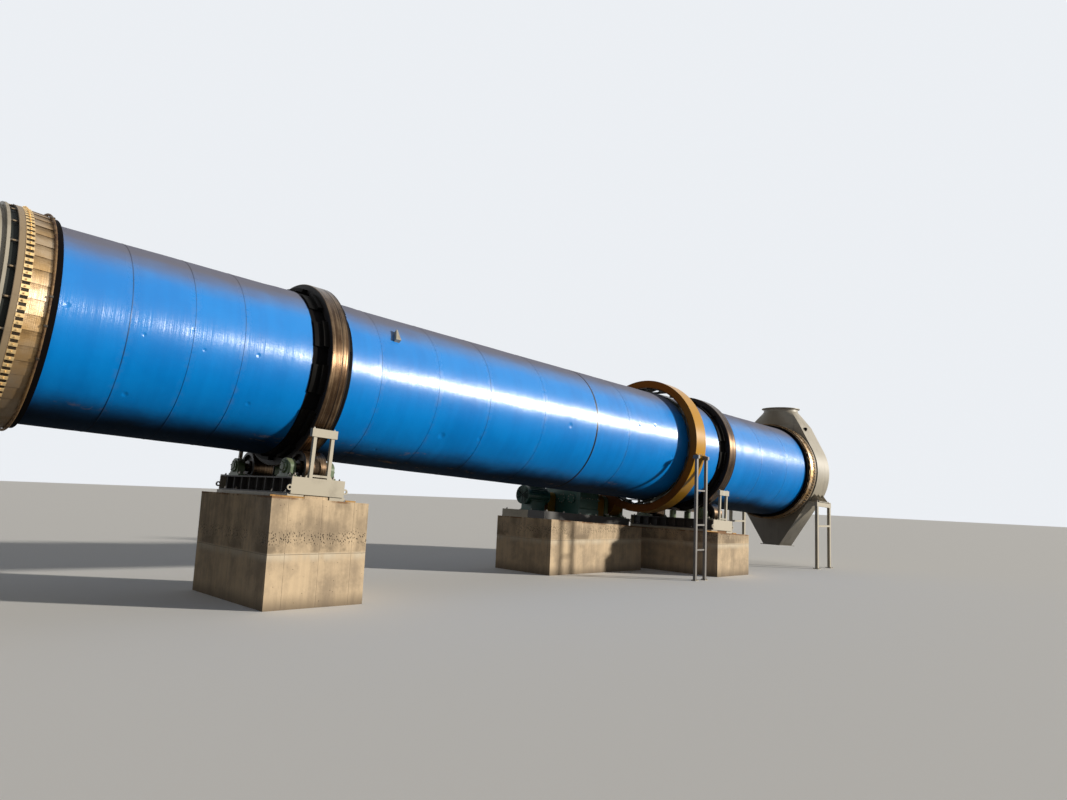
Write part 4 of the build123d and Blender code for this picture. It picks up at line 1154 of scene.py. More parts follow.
@dataclass(frozen=True)
class Metal:
    """Bare or greasy steel with worn bright spots and dirt.

    Attributes:
        name: the material's name.
        base: the clean metal.
        dirt: grease or rust over it.
        cover: share of the dirt.
        shine: metallic share.
        roughness: roughness of the clean metal.
        gloss: strength of the plain reflection where it isn't metallic.
    """

    name: str
    base: Colour
    dirt: Colour = (0.060, 0.040, 0.028)
    cover: float = 0.5
    shine: float = 0.9
    roughness: float = 0.35
    gloss: float = 0.4

    def make(self) -> bpy.types.Material:
        """Build the material.

        Returns:
            The material.
        """
        shader = Shader(self.name)
        broad = shader.noise(4.5, 5.0, 0.6)
        fine = shader.noise(45.0, 4.0, 0.65)
        worn = (broad * 0.6 + fine * 0.4).between(0.62 - 0.3 * self.cover, 0.80 - 0.3 * self.cover)
        colour = shader.mix(self.base, self.dirt, worn)
        roughness = self.roughness + worn * 0.25 + fine * 0.08
        metallic = self.shine - worn * 0.5 * self.shine
        return shader.done(colour, roughness, metallic, fine * 0.0002, specular=self.gloss)


@dataclass(frozen=True)
class RollerSteel:
    """Steel rollers: dark painted sides and a rim rolled brown, told apart by the normal."""

    name: str = "roller_steel"
    side: Colour = (0.016, 0.013, 0.011)
    brown: Colour = (0.060, 0.036, 0.022)
    bright: Colour = (0.220, 0.150, 0.090)

    def make(self) -> bpy.types.Material:
        """Build the material.

        Returns:
            The material.
        """
        shader = Shader(self.name)
        point = DrumPoint(shader)
        rim = point.endways().between(0.7, 0.2)
        hoops = point.noise(40.0, 0.0, 4.0, 0.6)
        blotch = shader.noise(5.0, 5.0, 0.6)
        rolled = shader.mix(self.brown, self.bright, (hoops * 0.7 + blotch * 0.3).between(0.40, 0.65))
        dirty = shader.mix(self.side, self.brown, blotch.between(0.5, 0.75) * 0.5)
        colour = shader.mix(dirty, rolled, rim)
        return shader.done(colour, 0.45 - rim * 0.15, rim * 0.8 + 0.1, hoops * 0.0004 + blotch * 0.0006)


@dataclass(frozen=True)
class Concrete:
    """Raw cast concrete: form joints, a lift line with bloom under it, a pitted band with painted shade in
    its holes, and a dark foot.

    Attributes:
        board: width of a form panel, between two upright joints.
        lift: height of the joint between two pours.
        pier_drop: level of the roller piers' tops below the axis, where grout has run over the edge.
    """

    light: Colour = (0.740, 0.570, 0.375)
    dark: Colour = (0.400, 0.310, 0.215)
    damp: Colour = (0.260, 0.200, 0.135)
    bloom: Colour = (0.720, 0.620, 0.470)
    pit_shade: Colour = (0.050, 0.040, 0.030)
    earth: Colour = (0.085, 0.065, 0.048)
    grout: Colour = (0.240, 0.125, 0.060)
    board: float = 0.61
    lift: float = 0.88
    pier_drop: float = 2.245

    def make(self) -> bpy.types.Material:
        """Build the material.

        Returns:
            The material.
        """
        shader = Shader("cast_concrete")
        point = DrumPoint(shader)
        x, y, z = shader.split(shader.place)
        east, north, up = shader.normal()
        along = x * north.size() + y * east.size()
        broad = shader.noise(1.3, 6.0, 0.65)
        streak = shader.noise(1.0, 5.0, 0.65, shader.stretched((5.0, 5.0, 0.6)))
        fine = shader.noise(34.0, 5.0, 0.7)
        grain = shader.noise(1.0, 3.0, 0.6, shader.stretched((60.0, 60.0, 3.0)))
        colour = shader.mix(self.light, self.dark, (broad * 0.7 + streak * 0.3).between(0.38, 0.64))
        even = broad * 0.5 + streak * 0.5
        under_lift = (z + streak * 0.10 - 0.05 - self.lift).between(-0.16, -0.02)
        under_lift = under_lift * (z - self.lift).between(0.03, 0.0)
        colour = shader.mix(colour, self.bloom, under_lift * even.between(0.36, 0.52) * 0.9)
        damp = (z - self.lift - 0.08).size().between(0.10, 0.02) * broad.between(0.46, 0.58)
        damp = damp * (z - self.lift).between(0.0, 0.02)
        colour = shader.mix(colour, self.damp, damp * 0.75)
        boards = shader.noise(1.0, 1.0, 0.5, shader.stretched((9.0, 9.0, 0.05)))
        colour = shader.mix(colour, self.dark, boards.between(0.42, 0.66) * 0.16)
        upper = (z - self.lift).between(0.0, 0.05) * even.between(0.34, 0.58)
        colour = shader.mix(colour, self.damp, upper * 0.42)
        joint = along.saw(self.board).between(0.009, 0.003) * (0.3 + broad * 0.8)
        seam = (z - self.lift + streak * 0.012).size().between(0.008, 0.003)
        colour = shader.mix(colour, self.dark, joint.larger(seam) * 0.75)
        pitted = (z + broad * 0.2 - 0.1 - self.lift - 0.26).size().between(0.16, 0.05)
        pores = shader.cells(1.0, shader.stretched((34.0, 34.0, 22.0))).between(0.40, 0.22)
        holes = pores * pitted * shader.noise(1.1, 2.0).between(0.34, 0.50)
        sparse = shader.cells(11.0).between(0.09, 0.05) * fine.between(0.45, 0.55)
        holes = holes.larger(sparse)
        # Painted shade inside the pits and holes.
        colour = shader.mix(colour, self.pit_shade, holes * 0.85)
        foot = (z + broad * 0.25).between(0.40, 0.08)
        colour = shader.mix(colour, self.earth, foot * 0.7)
        edge = (point.rise + fine * 0.02).between(-self.pier_drop - 0.030, -self.pier_drop - 0.014)
        colour = shader.mix(colour, self.grout, edge * broad.between(0.42, 0.54) * 0.85)
        settled = up.between(0.5, 0.9) * fine.between(0.3, 0.6) * 0.7
        colour = shader.mix(colour, self.earth, settled)
        height = (joint * -0.003 + seam * -0.004 + holes * -0.006 + grain * 0.0008 + fine * 0.0012
                  + broad * 0.010)
        return shader.done(colour, 0.82 + fine * 0.12, 0.0, height, specular=0.25)


class Finishes:
    """Every finish of the dryer, each made once, when it is first asked for."""

    def __init__(self) -> None:
        """List the finishes by name."""
        cream = (0.480, 0.430, 0.330)
        self.recipes: dict[str, Any] = {
            "drum": DrumEnamel(),
            "tyre_feed": TreadSteel("tyre_steel_feed", 1.700, 0.0, 0.34),
            "tyre_discharge": TreadSteel("tyre_steel_discharge", 1.700, 12.63, 0.34,
                                         brown=(0.045, 0.026, 0.015), bright=(0.180, 0.115, 0.062)),
            "pad": Metal("pad_grease", (0.005, 0.0045, 0.004), (0.012, 0.009, 0.007), 0.4, 0.0, 0.55, 0.06),
            "gear": TreadSteel("gear_steel", 1.782),
            # The wear ring is near black: a dark ring, darkened further as painted shade under the seal's
            # leaves.
            "wear_ring": Metal("wear_ring_black_painted_shade", (0.006, 0.005, 0.005), (0.014, 0.011, 0.009), 0.3, 0.0, 0.6,
                               0.02),
            # The hood paint has painted shade low down, below its level of 2.25 m.
            "hood": Paint("hood_paint_dusty", (0.430, 0.390, 0.310), gloss=0.40, dirt=0.55, chips=0.35,
                          painted_shade_level=2.25),
            "ring": RingPaint(),
            "frame": Paint("frame_paint_cream", cream, gloss=0.42, dirt=0.40, chips=0.25),
            "base": BaseEnd("base_paint", cream, dirt=0.45),
            "post": Paint("post_paint_grey", (0.200, 0.185, 0.170), gloss=0.38, dirt=0.45, chips=0.4),
            "guard": GuardPaint(),
            "lath": Metal("lath_timber", (0.520, 0.300, 0.110), (0.300, 0.160, 0.060), 0.5, 0.0, 0.8, 0.2),
            "green": Paint("machine_green", (0.100, 0.150, 0.066), gloss=0.34, dirt=0.6, chips=0.2),
            "drive": Paint("drive_green", (0.028, 0.105, 0.080), gloss=0.32, dirt=0.6, chips=0.2),
            "spring": Paint("spring_plate_paint", (0.070, 0.078, 0.066), gloss=0.45, dirt=0.7, chips=0.2),
            "leaf": LeafSteel(),
            "tab": Metal("tab_steel", (0.880, 0.640, 0.320), (0.130, 0.070, 0.028), 0.30, 0.9, 0.42),
            "tab_dull": Metal("tab_steel_dull", (0.330, 0.215, 0.105), (0.090, 0.050, 0.022), 0.5, 0.8, 0.42),
            "stud": Metal("stud_steel", (0.120, 0.105, 0.085), (0.030, 0.022, 0.016), 0.6, 0.7, 0.35, 0.2),
            "fastener": Metal("fastener_steel", (0.360, 0.330, 0.290), (0.055, 0.036, 0.024), 0.6),
            "rope": Metal("rope_brown", (0.200, 0.115, 0.045), (0.075, 0.038, 0.018), 0.6, 0.35, 0.5),
            "flight": Metal("flight_steel_worn", (0.330, 0.240, 0.170), (0.150, 0.060, 0.028), 0.8, 0.7),
            "roller": RollerSteel(),
            "concrete": Concrete(),
        }
        self.made: dict[str, bpy.types.Material] = {}

    def get(self, name: str) -> bpy.types.Material:
        """A finish's material.

        Args:
            name: the finish's name.

        Returns:
            The material.
        """
        if name not in self.made:
            self.made[name] = self.recipes[name].make()
        return self.made[name]


class Workshop:
    """Makes pieces and dresses the frame's own nodes."""

    def __init__(self, frame: dict[str, Any]) -> None:
        """Keep the loaded frame and start with no finish made.
        """
        self.nodes = frame["nodes"]
        self.finishes = Finishes()
        self.triangles = 0

    def dress(self, finish: str, *nodes: str) -> None:
        """Give frame nodes a finish in place of their plain one.

        Args:
            finish: the finish's name.
            nodes: the frame nodes' names.
        """
        for name in nodes:
            for slot in self.nodes[name].material_slots:
                slot.material = self.finishes.get(finish)
        log.info("dressed %s: %s", finish, ", ".join(nodes))

    def piece(self, name: str, solid: Solid, finish: str, body: str = "plant",
              crease: float = 35.0, replaced: Sequence[str] = (),
              marks: dict[str, Array] | None = None) -> None:
        """Turn arrays into an object of the scene that rides on a body.

        Args:
            name: the piece's name.
            solid: its points and faces.
            finish: which finish it takes.
            body: the body that carries it.
            crease: edges sharper than this many degrees stay sharp.
            replaced: frame nodes that it stands for.
            marks: numbers for each point, by attribute name.
        """
        mesh = bpy.data.meshes.new(name)
        faces = [row for corners in solid.faces for row in corners.tolist()]
        mesh.from_pydata(solid.points.tolist(), [], faces)
        for key, values in (marks or {}).items():
            mesh.attributes.new(key, "FLOAT", "POINT").data.foreach_set("value", values)
        shape = bmesh.new()
        shape.from_mesh(mesh)
        bmesh.ops.remove_doubles(shape, verts=shape.verts, dist=1e-6)
        bmesh.ops.recalc_face_normals(shape, faces=shape.faces)
        shape.to_mesh(mesh)
        shape.free()
        mesh.polygons.foreach_set("use_smooth", np.ones(len(mesh.polygons), bool))
        mesh.set_sharp_from_angle(angle=math.radians(crease))
        mesh.materials.append(self.finishes.get(finish))
        made = bpy.data.objects.new(name, mesh)
        bpy.context.scene.collection.objects.link(made)
        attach(made, body)
        if replaced:
            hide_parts(*replaced)
        count = int(sum(len(corners) * (corners.shape[1] - 2) for corners in solid.faces))
        self.triangles += count
        log.info("made %s: %d triangles", name, count)

    def fasteners(self, name: str, solid: Solid) -> None:
        """Bolts and nuts as one piece."""
        self.piece(name, solid, "fastener")


@dataclass
class Drum:
    """The turning drum: shell with its courses and waves, weld beads, a lug, and the nodes' finishes.

    Attributes:
        start: station of the uphill end.
        end: station of the downhill end.
        radius: outer radius of the plain courses.
        wall: thickness of the plain courses.
        step: how much thicker the heavy courses are.
        heavy: first and last station of each heavy course.
        ramp: length over which a heavy course comes up.
        fade: length over which the waves die out at the shell's ends.
        rows: steps along the shell.
        columns: steps round the shell.
        seam_width: width of a weld bead.
        seam_height: height of a weld bead.
        waves: height, radians to a metre, waves round the drum and phase of each long wave.
        shrink: depth and half width of the hollow at a girth seam.
        flats: station, turn in degrees, width and depth of each broad flat.
    """

    start: float = -4.900
    end: float = 18.200
    radius: float = PLATE_RADIUS
    wall: float = 0.020
    step: float = 0.008
    heavy: tuple[tuple[float, float], ...] = ((-1.0, 1.0), (10.135, 13.63))
    ramp: float = 0.30
    fade: float = 0.30
    rows: int = 240
    columns: int = 288
    seam_width: float = 0.016
    seam_height: float = 0.004
    waves: tuple[tuple[float, float, float, float], ...] = (
        (0.0009, 2.1, 3.0, 0.4), (0.0008, 3.7, -5.0, 1.9), (0.0006, 6.3, 8.0, 2.7))
    shrink: tuple[float, float] = (0.0022, 0.11)
    flats: tuple[tuple[float, float, float, float], ...] = (
        (6.1, -172.0, 0.34, 0.006), (8.7, 168.0, 0.30, 0.005), (2.7, -146.0, 0.30, 0.009),
        (1.1, 169.0, 0.22, 0.004), (-3.0, -150.0, 0.40, 0.005), (3.7, -150.0, 0.25, 0.005))

    def relief(self, station: Array, turn: Array) -> Array:
        """How far the plate stands off its true radius.

        The sum of long waves, each a sine along and round the drum, less a shrunk hollow at each girth
        seam and some broad flats, both exp(-d * d) of the distance from their middles.

        Args:
            station: distances along the axis.
            turn: angles round it.

        Returns:
            The offsets.
        """
        offset = np.zeros(np.broadcast(station, turn).shape)
        for height, along, around, phase in self.waves:
            offset = offset + height * np.sin(along * station + around * turn + phase)
        sink, half = self.shrink
        for seam, _ in DrumEnamel().seams:
            offset = offset - sink * np.exp(-((station - seam) / half) ** 2)
        for middle, degrees, width, depth in self.flats:
            swing = (turn - math.radians(degrees) + math.pi) % math.tau - math.pi
            away = ((station - middle) ** 2 + (self.radius * swing) ** 2) / width ** 2
            offset = offset - depth * np.exp(-away)
        return offset

    def outer(self, station: Array, turn: Array) -> Array:
        """The outer surface's radius: the plain course, the ramp up to a heavy one, and the relief.

        Args:
            station: distances along the axis.
            turn: angles round it.

        Returns:
            The radii.
        """
        thick = np.zeros(np.broadcast(station, turn).shape)
        for low, high in self.heavy:
            share = np.clip(np.minimum(station - low, high - station) / self.ramp, 0.0, 1.0)
            thick = np.maximum(thick, self.step * share * share * (3.0 - 2.0 * share))
        inside = np.clip(np.minimum(station - self.start, self.end - station) / self.fade, 0.0, 1.0)
        return self.radius + thick + self.relief(station, turn) * inside

    def shell(self, shop: Workshop) -> None:
        """The shell: its outer surface by station and turn, and a plain inner wall joined at its ends.

        Args:
            shop: makes the pieces.
        """
        ramps = [low + share * self.ramp for low, _ in self.heavy for share in (0.0, 0.5, 1.0)]
        ramps += [high - share * self.ramp for _, high in self.heavy for share in (0.0, 0.5, 1.0)]
        stations = np.unique(np.concatenate([np.linspace(self.start, self.end, self.rows), ramps]))
        turns = round_turns(self.columns)
        outer = AXIS.place(stations[:, None], turns[None], self.outer(stations[:, None], turns[None]))
        inner_stations = np.array([self.end, self.start])
        inner = AXIS.place(inner_stations[:, None], turns[None], self.radius - self.wall)
        rings = np.concatenate([outer, inner])
        shop.piece("drum_shell_dressed", lattice(rings, wrap_rows=True, wrap_columns=True), "drum",
                   "drum", 40.0, ("drum_shell",))

    def seams(self, shop: Workshop) -> None:
        """Weld beads: a low arch, sqrt(1 - s * s) across its width, carried round at each girth seam.

        Args:
            shop: makes the pieces.
        """
        stations = np.array([seam for seam, _ in DrumEnamel().seams])
        share = np.linspace(-1.0, 1.0, 5)
        lift = np.concatenate([self.seam_height * np.sqrt(1.0 - share ** 2) - 0.0002, [-0.003]])
        share = np.concatenate([share, [0.0]])
        place = stations[:, None, None] + share * self.seam_width / 2
        around = round_turns(self.columns)[None, :, None]
        radius = self.outer(place, around) + lift
        rings = AXIS.place(place, around, radius)
        faces = lattice(rings[0], wrap_rows=True, wrap_columns=True).faces
        hoops = family(rings.reshape(len(stations), -1, 3), faces)
        shop.piece("drum_girth_welds", hoops, "drum", "drum", 60.0)

    def lug(self, shop: Workshop) -> None:
        """A wedge-shaped lug on the upper near side, wider at one end.

        Args:
            shop: makes the pieces.
        """
        outline = np.array([(0.055, 0.140), (0.030, 0.140), (-0.060, -0.140), (0.055, -0.140)])
        lug = prism(outline, 0.0, 0.085, 0.010)
        turns, places = drum_frames(np.array([1.345]), np.radians([143.0]), np.array([1.490]))
        shop.piece("drum_lug", lug.placed(turns, places), "frame", "drum")

    def build(self, shop: Workshop) -> None:
        """Make the drum's pieces and dress its nodes.

        Args:
            shop: makes the pieces.
        """
        self.shell(shop)
        self.seams(shop)
        self.lug(shop)
        for finish, node in (("tyre_feed", "tyre_feed"), ("tyre_discharge", "tyre_discharge"),
                             ("pad", "tyre_pads"), ("gear", "girth_gear"), ("spring", "spring_plates"),
                             ("wear_ring", "wear_rings"), ("flight", "lifting_flights")):
            shop.dress(finish, node)


@dataclass
class Seal:
    """A seal's crown of overlapping leaves with clamp tabs, a tension rope and stud nuts.

    Attributes:
        place: which end, for the pieces' names.
        root: station of the leaves' fixed end.
        side: 1 if the hood is downhill of the leaves, and -1 if it is uphill.
        tab_finish: the clamp tabs' finish.
        leaves: how many leaves make the crown.
        length: a leaf's length along the drum.
        root_radius: radius of the leaves' fixed end.
        tip_radius: radius of the leaves' tips.
        sheet: the leaves' thickness.
        overlap: a leaf's width, as a multiple of its share of the circle.
        tilt: how far a leaf's edges stand off, one outwards and one inwards.
        bends: the least and the most that a tip is bent outwards.
        tabs: how many clamp tabs hold the leaves.
        tab_size: a tab's length, width and thickness.
        tab_gap: from the leaves' fixed end to the tabs.
        rope_inset: from the leaves' tips to the rope's middle.
        rope_lay: turns that the rope's strands make in one turn of the drum.
        clip_turns: where the rope's clips sit, in degrees.
        studs: how many studs join the ring to the hood.
        stud_circle: radius on which they stand.
        ring_width: from the leaves' fixed end to the ring's back.
        recess: from the ring's back to the hood's face.
    """

    place: str
    root: float
    side: int
    tab_finish: str
    leaves: int = 48
    length: float = 0.356
    root_radius: float = 1.606
    tip_radius: float = 1.584
    sheet: float = 0.003
    overlap: float = 1.16
    tilt: float = 0.0045
    bends: tuple[float, float] = (-0.0015, 0.0025)
    tabs: int = 104
    tab_size: tuple[float, float, float] = (0.105, 0.052, 0.008)
    tab_gap: float = 0.002
    tab_bolt: float = 0.020
    rope_radius: float = 0.021
    rope_inset: float = 0.004
    rope_gap: float = 0.001
    rope_lay: float = 40.0
    clip_turns: tuple[float, ...] = (206.0, 190.0, 176.0, 120.0, 20.0)
    clip_size: tuple[float, float, float] = (0.050, 0.030, 0.020)
    clip_lift: float = 0.008
    studs: int = 24
    stud_circle: float = 1.594
    stud_nut: float = 0.032
    ring_width: float = 0.080
    recess: float = 0.095

    def crown(self, shop: Workshop) -> None:
        """The leaves: each is a strip whose radius falls to its tip and rises across its width.

        Args:
            shop: makes the pieces.
        """
        chance = np.random.default_rng(11 + self.side)
        across = np.linspace(-1.0, 1.0, 7)
        along = np.linspace(0.0, 1.0, 6)[None, :, None]
        loop = np.concatenate([across, across[::-1]])
        thick = np.concatenate([np.zeros(7), np.full(7, -self.sheet)])
        turn = round_turns(self.leaves, 0.03)[:, None, None] + loop * (math.pi / self.leaves * self.overlap)
        bend = chance.uniform(*self.bends, self.leaves)[:, None, None] * along ** 2
        radius = (self.root_radius + (self.tip_radius - self.root_radius) * along
                  + self.tilt * loop + thick + bend)
        rings = AXIS.place(self.root - self.side * along * self.length, turn, radius)
        solid = family(rings.reshape(self.leaves, -1, 3), loft(rings[0]).faces)
        tint = np.repeat(chance.uniform(0.0, 1.0, self.leaves), rings.shape[1] * rings.shape[2])
        edge = np.tile(loop, self.leaves * rings.shape[1])
        shop.piece(f"seal_fan_{self.place}", solid, "leaf", "plant", 30.0,
                   (f"seal_leaves_{self.place}",), {"tint": tint, "across": edge})

    def clamps(self, shop: Workshop) -> None:
        """Clamp tabs over the leaves' roots, each with a bolt.

        Args:
            shop: makes the pieces.
        """
        length, _, thickness = self.tab_size
        lean = (self.root_radius - self.tip_radius) / self.length
        head = bolt(self.tab_bolt)
        head.points[:, 2] += thickness
        tabs = block(self.tab_size, 0.002).joined(head).placed(*drum_frames(
            self.root - self.side * (length / 2 + self.tab_gap), round_turns(self.tabs, 0.01),
            self.root_radius - lean * length / 2 + self.tilt))
        shop.piece(f"seal_clamps_{self.place}", tabs, self.tab_finish)

    def rope(self, shop: Workshop) -> None:
        """A wire rope round the leaves' tips, with clips.

        The rope's own radius swells by cos of three times the angle round its section, and the swell
        winds along the rope as its strands do.

        Args:
            shop: makes the pieces.
        """
        station = self.root - self.side * (self.length - self.rope_inset)
        radius = self.tip_radius + self.tilt + self.rope_radius + self.rope_gap
        turns = round_turns(720)[:, None]
        angle = round_turns(14)
        swell = self.rope_radius * (0.95 + 0.05 * np.cos(3.0 * (angle + turns * self.rope_lay)))
        rings = AXIS.place(station + swell * np.cos(angle), turns, radius + swell * np.sin(angle))
        clips = block(self.clip_size, 0.004).placed(
            *drum_frames(station, np.radians(self.clip_turns), radius + self.clip_lift))
        cable = lattice(rings, wrap_rows=True, wrap_columns=True)
        shop.piece(f"seal_rope_{self.place}", cable, "rope")
        shop.piece(f"seal_rope_clips_{self.place}", clips, "stud")

    def nuts(self, shop: Workshop) -> None:
        """Two nuts on every stud, against the ring and against the hood.

        Args:
            shop: makes the pieces.
        """
        ring_back = self.root + self.side * self.ring_width
        hood_face = ring_back + self.side * self.recess
        ways = [Facing.DOWNHILL, Facing.UPHILL][::self.side]
        turns = round_turns(self.studs)
        near, far = (bolt(self.stud_nut).placed(*drum_frames(station, turns, self.stud_circle, way))
                     for station, way in zip((ring_back, hood_face), ways))
        shop.piece(f"seal_stud_nuts_{self.place}", near.joined(far), "stud")

    def build(self, shop: Workshop) -> None:
        """Make the seal's pieces and dress its ring.

        Args:
            shop: makes the pieces.
        """
        self.crown(shop)
        self.clamps(shop)
        self.rope(shop)
        self.nuts(shop)
        shop.dress("ring", f"seal_ring_{self.place}")


@dataclass
class RollerStation:
    """A roller station's fasteners and packing.

    Levels, which end in top or drop, are below the drum's axis, and sides are to each side of it.

    Attributes:
        place: which station, for the pieces' names.
        station: the tyre's middle.
        beam_spacing: between the middles of the base's beams.
        bearing_spacing: between the middles of a roller's bearings.
        bearing_half: from a bearing's middle to its end cover.
        foot_reach: from a bearing's middle to its foot bolts, along the drum and across it.
        anchor_reach: from a beam's middle to its anchor bolts.
        anchor_sides: where the anchor bolts stand across the drum.
        cover_bolts: where a cover plate's bolts stand along the drum.
        cap_reach: from the portal's middle to the bolts on it.
        pier_near: from the drum's middle to the feed pier's side faces.
        laths: start, end and side of each lath, from the tyre's middle.
    """

    place: str
    station: float
    pier_drop: float = 2.245
    base_top: float = 1.908
    sole_top: float = 2.183
    beam_spacing: float = 0.770
    bearing_spacing: float = 0.730
    bearing_half: float = 0.070
    roller_side: float = 1.00015
    roller_drop: float = 1.7324
    foot_thickness: float = 0.040
    foot_reach: tuple[float, float] = (0.042, 0.188)
    foot_bolt: float = 0.036
    flange_thickness: float = 0.024
    anchor_reach: float = 0.075
    anchor_sides: tuple[float, ...] = (-1.22, -0.72, 0.72, 1.22)
    anchor_bolt: float = 0.034
    cover_side: float = 1.361
    cover_length: float = 0.978
    cover_width: float = 0.185
    cover_thickness: float = 0.010
    cover_bolts: tuple[float, ...] = (-0.43, -0.30, -0.06, 0.06, 0.30, 0.43)
    cover_bolt: float = 0.026
    portal_side: float = 1.426
    portal_span: float = 0.330
    portal_post: float = 0.060
    portal_height: float = 0.8442
    cap_reach: float = 0.19
    cap_bolt: float = 0.024
    pier_near: float = 1.452
    bed_side: float = 1.368
    laths: tuple[tuple[float, float, int], ...] = ((-0.83, -0.24, -1), (0.54, 0.74, -1), (-0.20, 0.16, 1))

    def bearing_fittings(self, shop: Workshop) -> None:
        """Foot bolts, end covers and cap bolts of the four bearings.

        Args:
            shop: makes the pieces.
        """
        ends = np.array([-1, 1]) * self.bearing_spacing / 2 + self.station
        sides = np.array([-1, 1]) * self.roller_side
        along, across = np.meshgrid(ends, sides, indexing="ij")
        far, wide = self.foot_reach
        spots = [AXIS.deck(along + dx, across + dy, self.base_top - self.foot_thickness).reshape(-1, 3)
                 for dx in (-far, far) for dy in (-wide, wide)]
        shop.fasteners(f"bearing_foot_bolts_{self.place}", bolt(self.foot_bolt).on_deck(np.vstack(spots)))
        cap = prism(polygon(40, 0.112), 0.0, 0.026, 0.008)
        cap = cap.joined(prism(polygon(28, 0.060), 0.026, 0.040, 0.006))
        covers: list[Solid] = []
        for end, outer in zip(ends, (-1.0, 1.0)):
            facing = AXIS.downhill * outer
            for side in sides:
                centre = AXIS.deck(end + outer * self.bearing_half, side, self.roller_drop)
                covers.append(cap.placed(*upright_frames(centre, AXIS.rise, facing)))
                covers.append(bolt_circle(centre, facing, polygon(6, 0.088, 0.3), 0.024))
        shop.piece(f"bearing_covers_{self.place}", merged(covers), "green")

    def anchors(self, shop: Workshop) -> None:
        """Anchor bolts through the beams' lower flanges.

        Args:
            shop: makes the pieces.
        """
        beams = self.station + np.array([-1, 1]) * self.beam_spacing / 2
        sides = np.array(self.anchor_sides)
        spots = [AXIS.deck(beam + reach, sides, self.sole_top - self.flange_thickness)
                 for beam in beams for reach in (-self.anchor_reach, self.anchor_reach)]
        shop.fasteners(f"anchor_bolts_{self.place}", bolt(self.anchor_bolt).on_deck(np.vstack(spots)))

    def packing(self, shop: Workshop) -> None:
        """Laths left on the pier, and bedding blocks under the base's ends.

        Args:
            shop: makes the pieces.
        """
        laths: list[Solid] = []
        for start, end, side in self.laths:
            middle = self.station + (start + end) / 2
            place = AXIS.deck(middle, side * (self.pier_near - 0.011), self.pier_drop)
            laths.append(block((end - start, 0.020, 0.026), 0.003).on_deck(place))
        shop.piece(f"pier_laths_{self.place}", merged(laths), "lath")
        beds = AXIS.deck(self.station, np.array([-1.0, 1.0]) * self.bed_side, self.pier_drop)
        bed = block((0.43, 0.11, self.pier_drop - self.sole_top - 0.001), 0.004)
        shop.piece(f"base_bedding_{self.place}", bed.on_deck(beds), "concrete")

    def portal_fittings(self, shop: Workshop) -> None:
        """Cover plates on the base's ends, gussets at the portal posts' feet, and their bolts.

        Args:
            shop: makes the pieces.
        """
        plates: list[Solid] = []
        bolts: list[Solid] = []
        gusset = plate(np.array([(0.0, 0.0), (0.062, 0.0), (0.0, 0.085)]), 0.010)
        cover = block((self.cover_length, self.cover_width, self.cover_thickness), 0.002)
        cover_top = self.base_top - self.cover_thickness
        for side in (-1.0, 1.0):
            plates.append(cover.on_deck(AXIS.deck(self.station, side * self.cover_side, self.base_top)))
            for post in (-1.0, 1.0):
                outer = self.station + post * (self.portal_span + self.portal_post) / 2
                foot = AXIS.deck(outer, side * self.portal_side, cover_top)
                plates.append(gusset.placed(*upright_frames(foot, AXIS.downhill * post, AXIS.rise)))
            spots = AXIS.deck(self.station + np.array(self.cover_bolts), side * self.cover_side, cover_top)
            bolts.append(bolt(self.cover_bolt).on_deck(spots))
            reaches = np.array([-self.cap_reach, self.cap_reach])
            caps = AXIS.deck(self.station + reaches, side * self.portal_side,
                             self.base_top - self.portal_height)
            bolts.append(bolt(self.cap_bolt).on_deck(caps))
        shop.piece(f"base_covers_{self.place}", merged(plates), "frame")
        shop.fasteners(f"base_cover_bolts_{self.place}", merged(bolts))

    def build(self, shop: Workshop) -> None:
        """Make the station's pieces and dress its nodes.

        Args:
            shop: makes the pieces.
        """
        self.bearing_fittings(shop)
        self.anchors(shop)
        self.packing(shop)
        self.portal_fittings(shop)
        shop.dress("base", f"roller_base_{self.place}")
        shop.dress("green", f"roller_bearings_{self.place}")
        shop.dress("roller", f"roller_{self.place}_near", f"roller_{self.place}_far")


@dataclass
class GearGuard:
    """The gear guard's joint bolts, and the plates under its ladder.

    Attributes:
        station: the guard's middle.
        radius: its outer radius.
        joint: how far the joint's flanges stand out.
        flange: thickness of one of them.
        split: turn of the joint on the drive side, in degrees.
        bolt_reach: from the guard's middle to the joint's last bolt.
        post_x: the ladder's middle.
        post_spacing: between its posts.
        post_side: from the drum's middle to the posts.
    """

    station: float = 10.765
    radius: float = 1.857
    joint: float = 0.045
    flange: float = 0.008
    split: float = 8.0
    bolt_reach: float = 0.18
    joint_bolt: float = 0.020
    post_x: float = 10.693
    post_spacing: float = 0.440
    post_side: float = 1.905
    post_plate: float = 0.14

    def build(self, shop: Workshop) -> None:
        """Make the guard's bolts and dress its nodes.

        Args:
            shop: makes the pieces.
        """
        spots = self.station + np.linspace(-self.bolt_reach, self.bolt_reach, 5)
        bolts: list[Solid] = []
        for half_turn in (0.0, math.pi):
            turn = math.radians(self.split) + half_turn
            normal = np.cross(AXIS.downhill, AXIS.outward(turn))
            places = AXIS.place(spots, turn, self.radius + self.joint * 0.55)
            for sign in (-1.0, 1.0):
                bolts.append(bolt(self.joint_bolt).placed(*upright_frames(
                    places + normal * sign * self.flange, AXIS.downhill, normal * sign)))
        shop.fasteners("guard_joint_bolts", merged(bolts))
        feet = np.array([(self.post_x + end * self.post_spacing / 2, -self.post_side, 0.0)
                         for end in (-1, 1)])
        leg_feet(shop, "guard_post", feet, self.post_plate)
        shop.dress("guard", "gear_guard_upper", "gear_guard_lower", "coupling_guards")
        shop.dress("post", "guard_posts_near", "guard_posts_far")


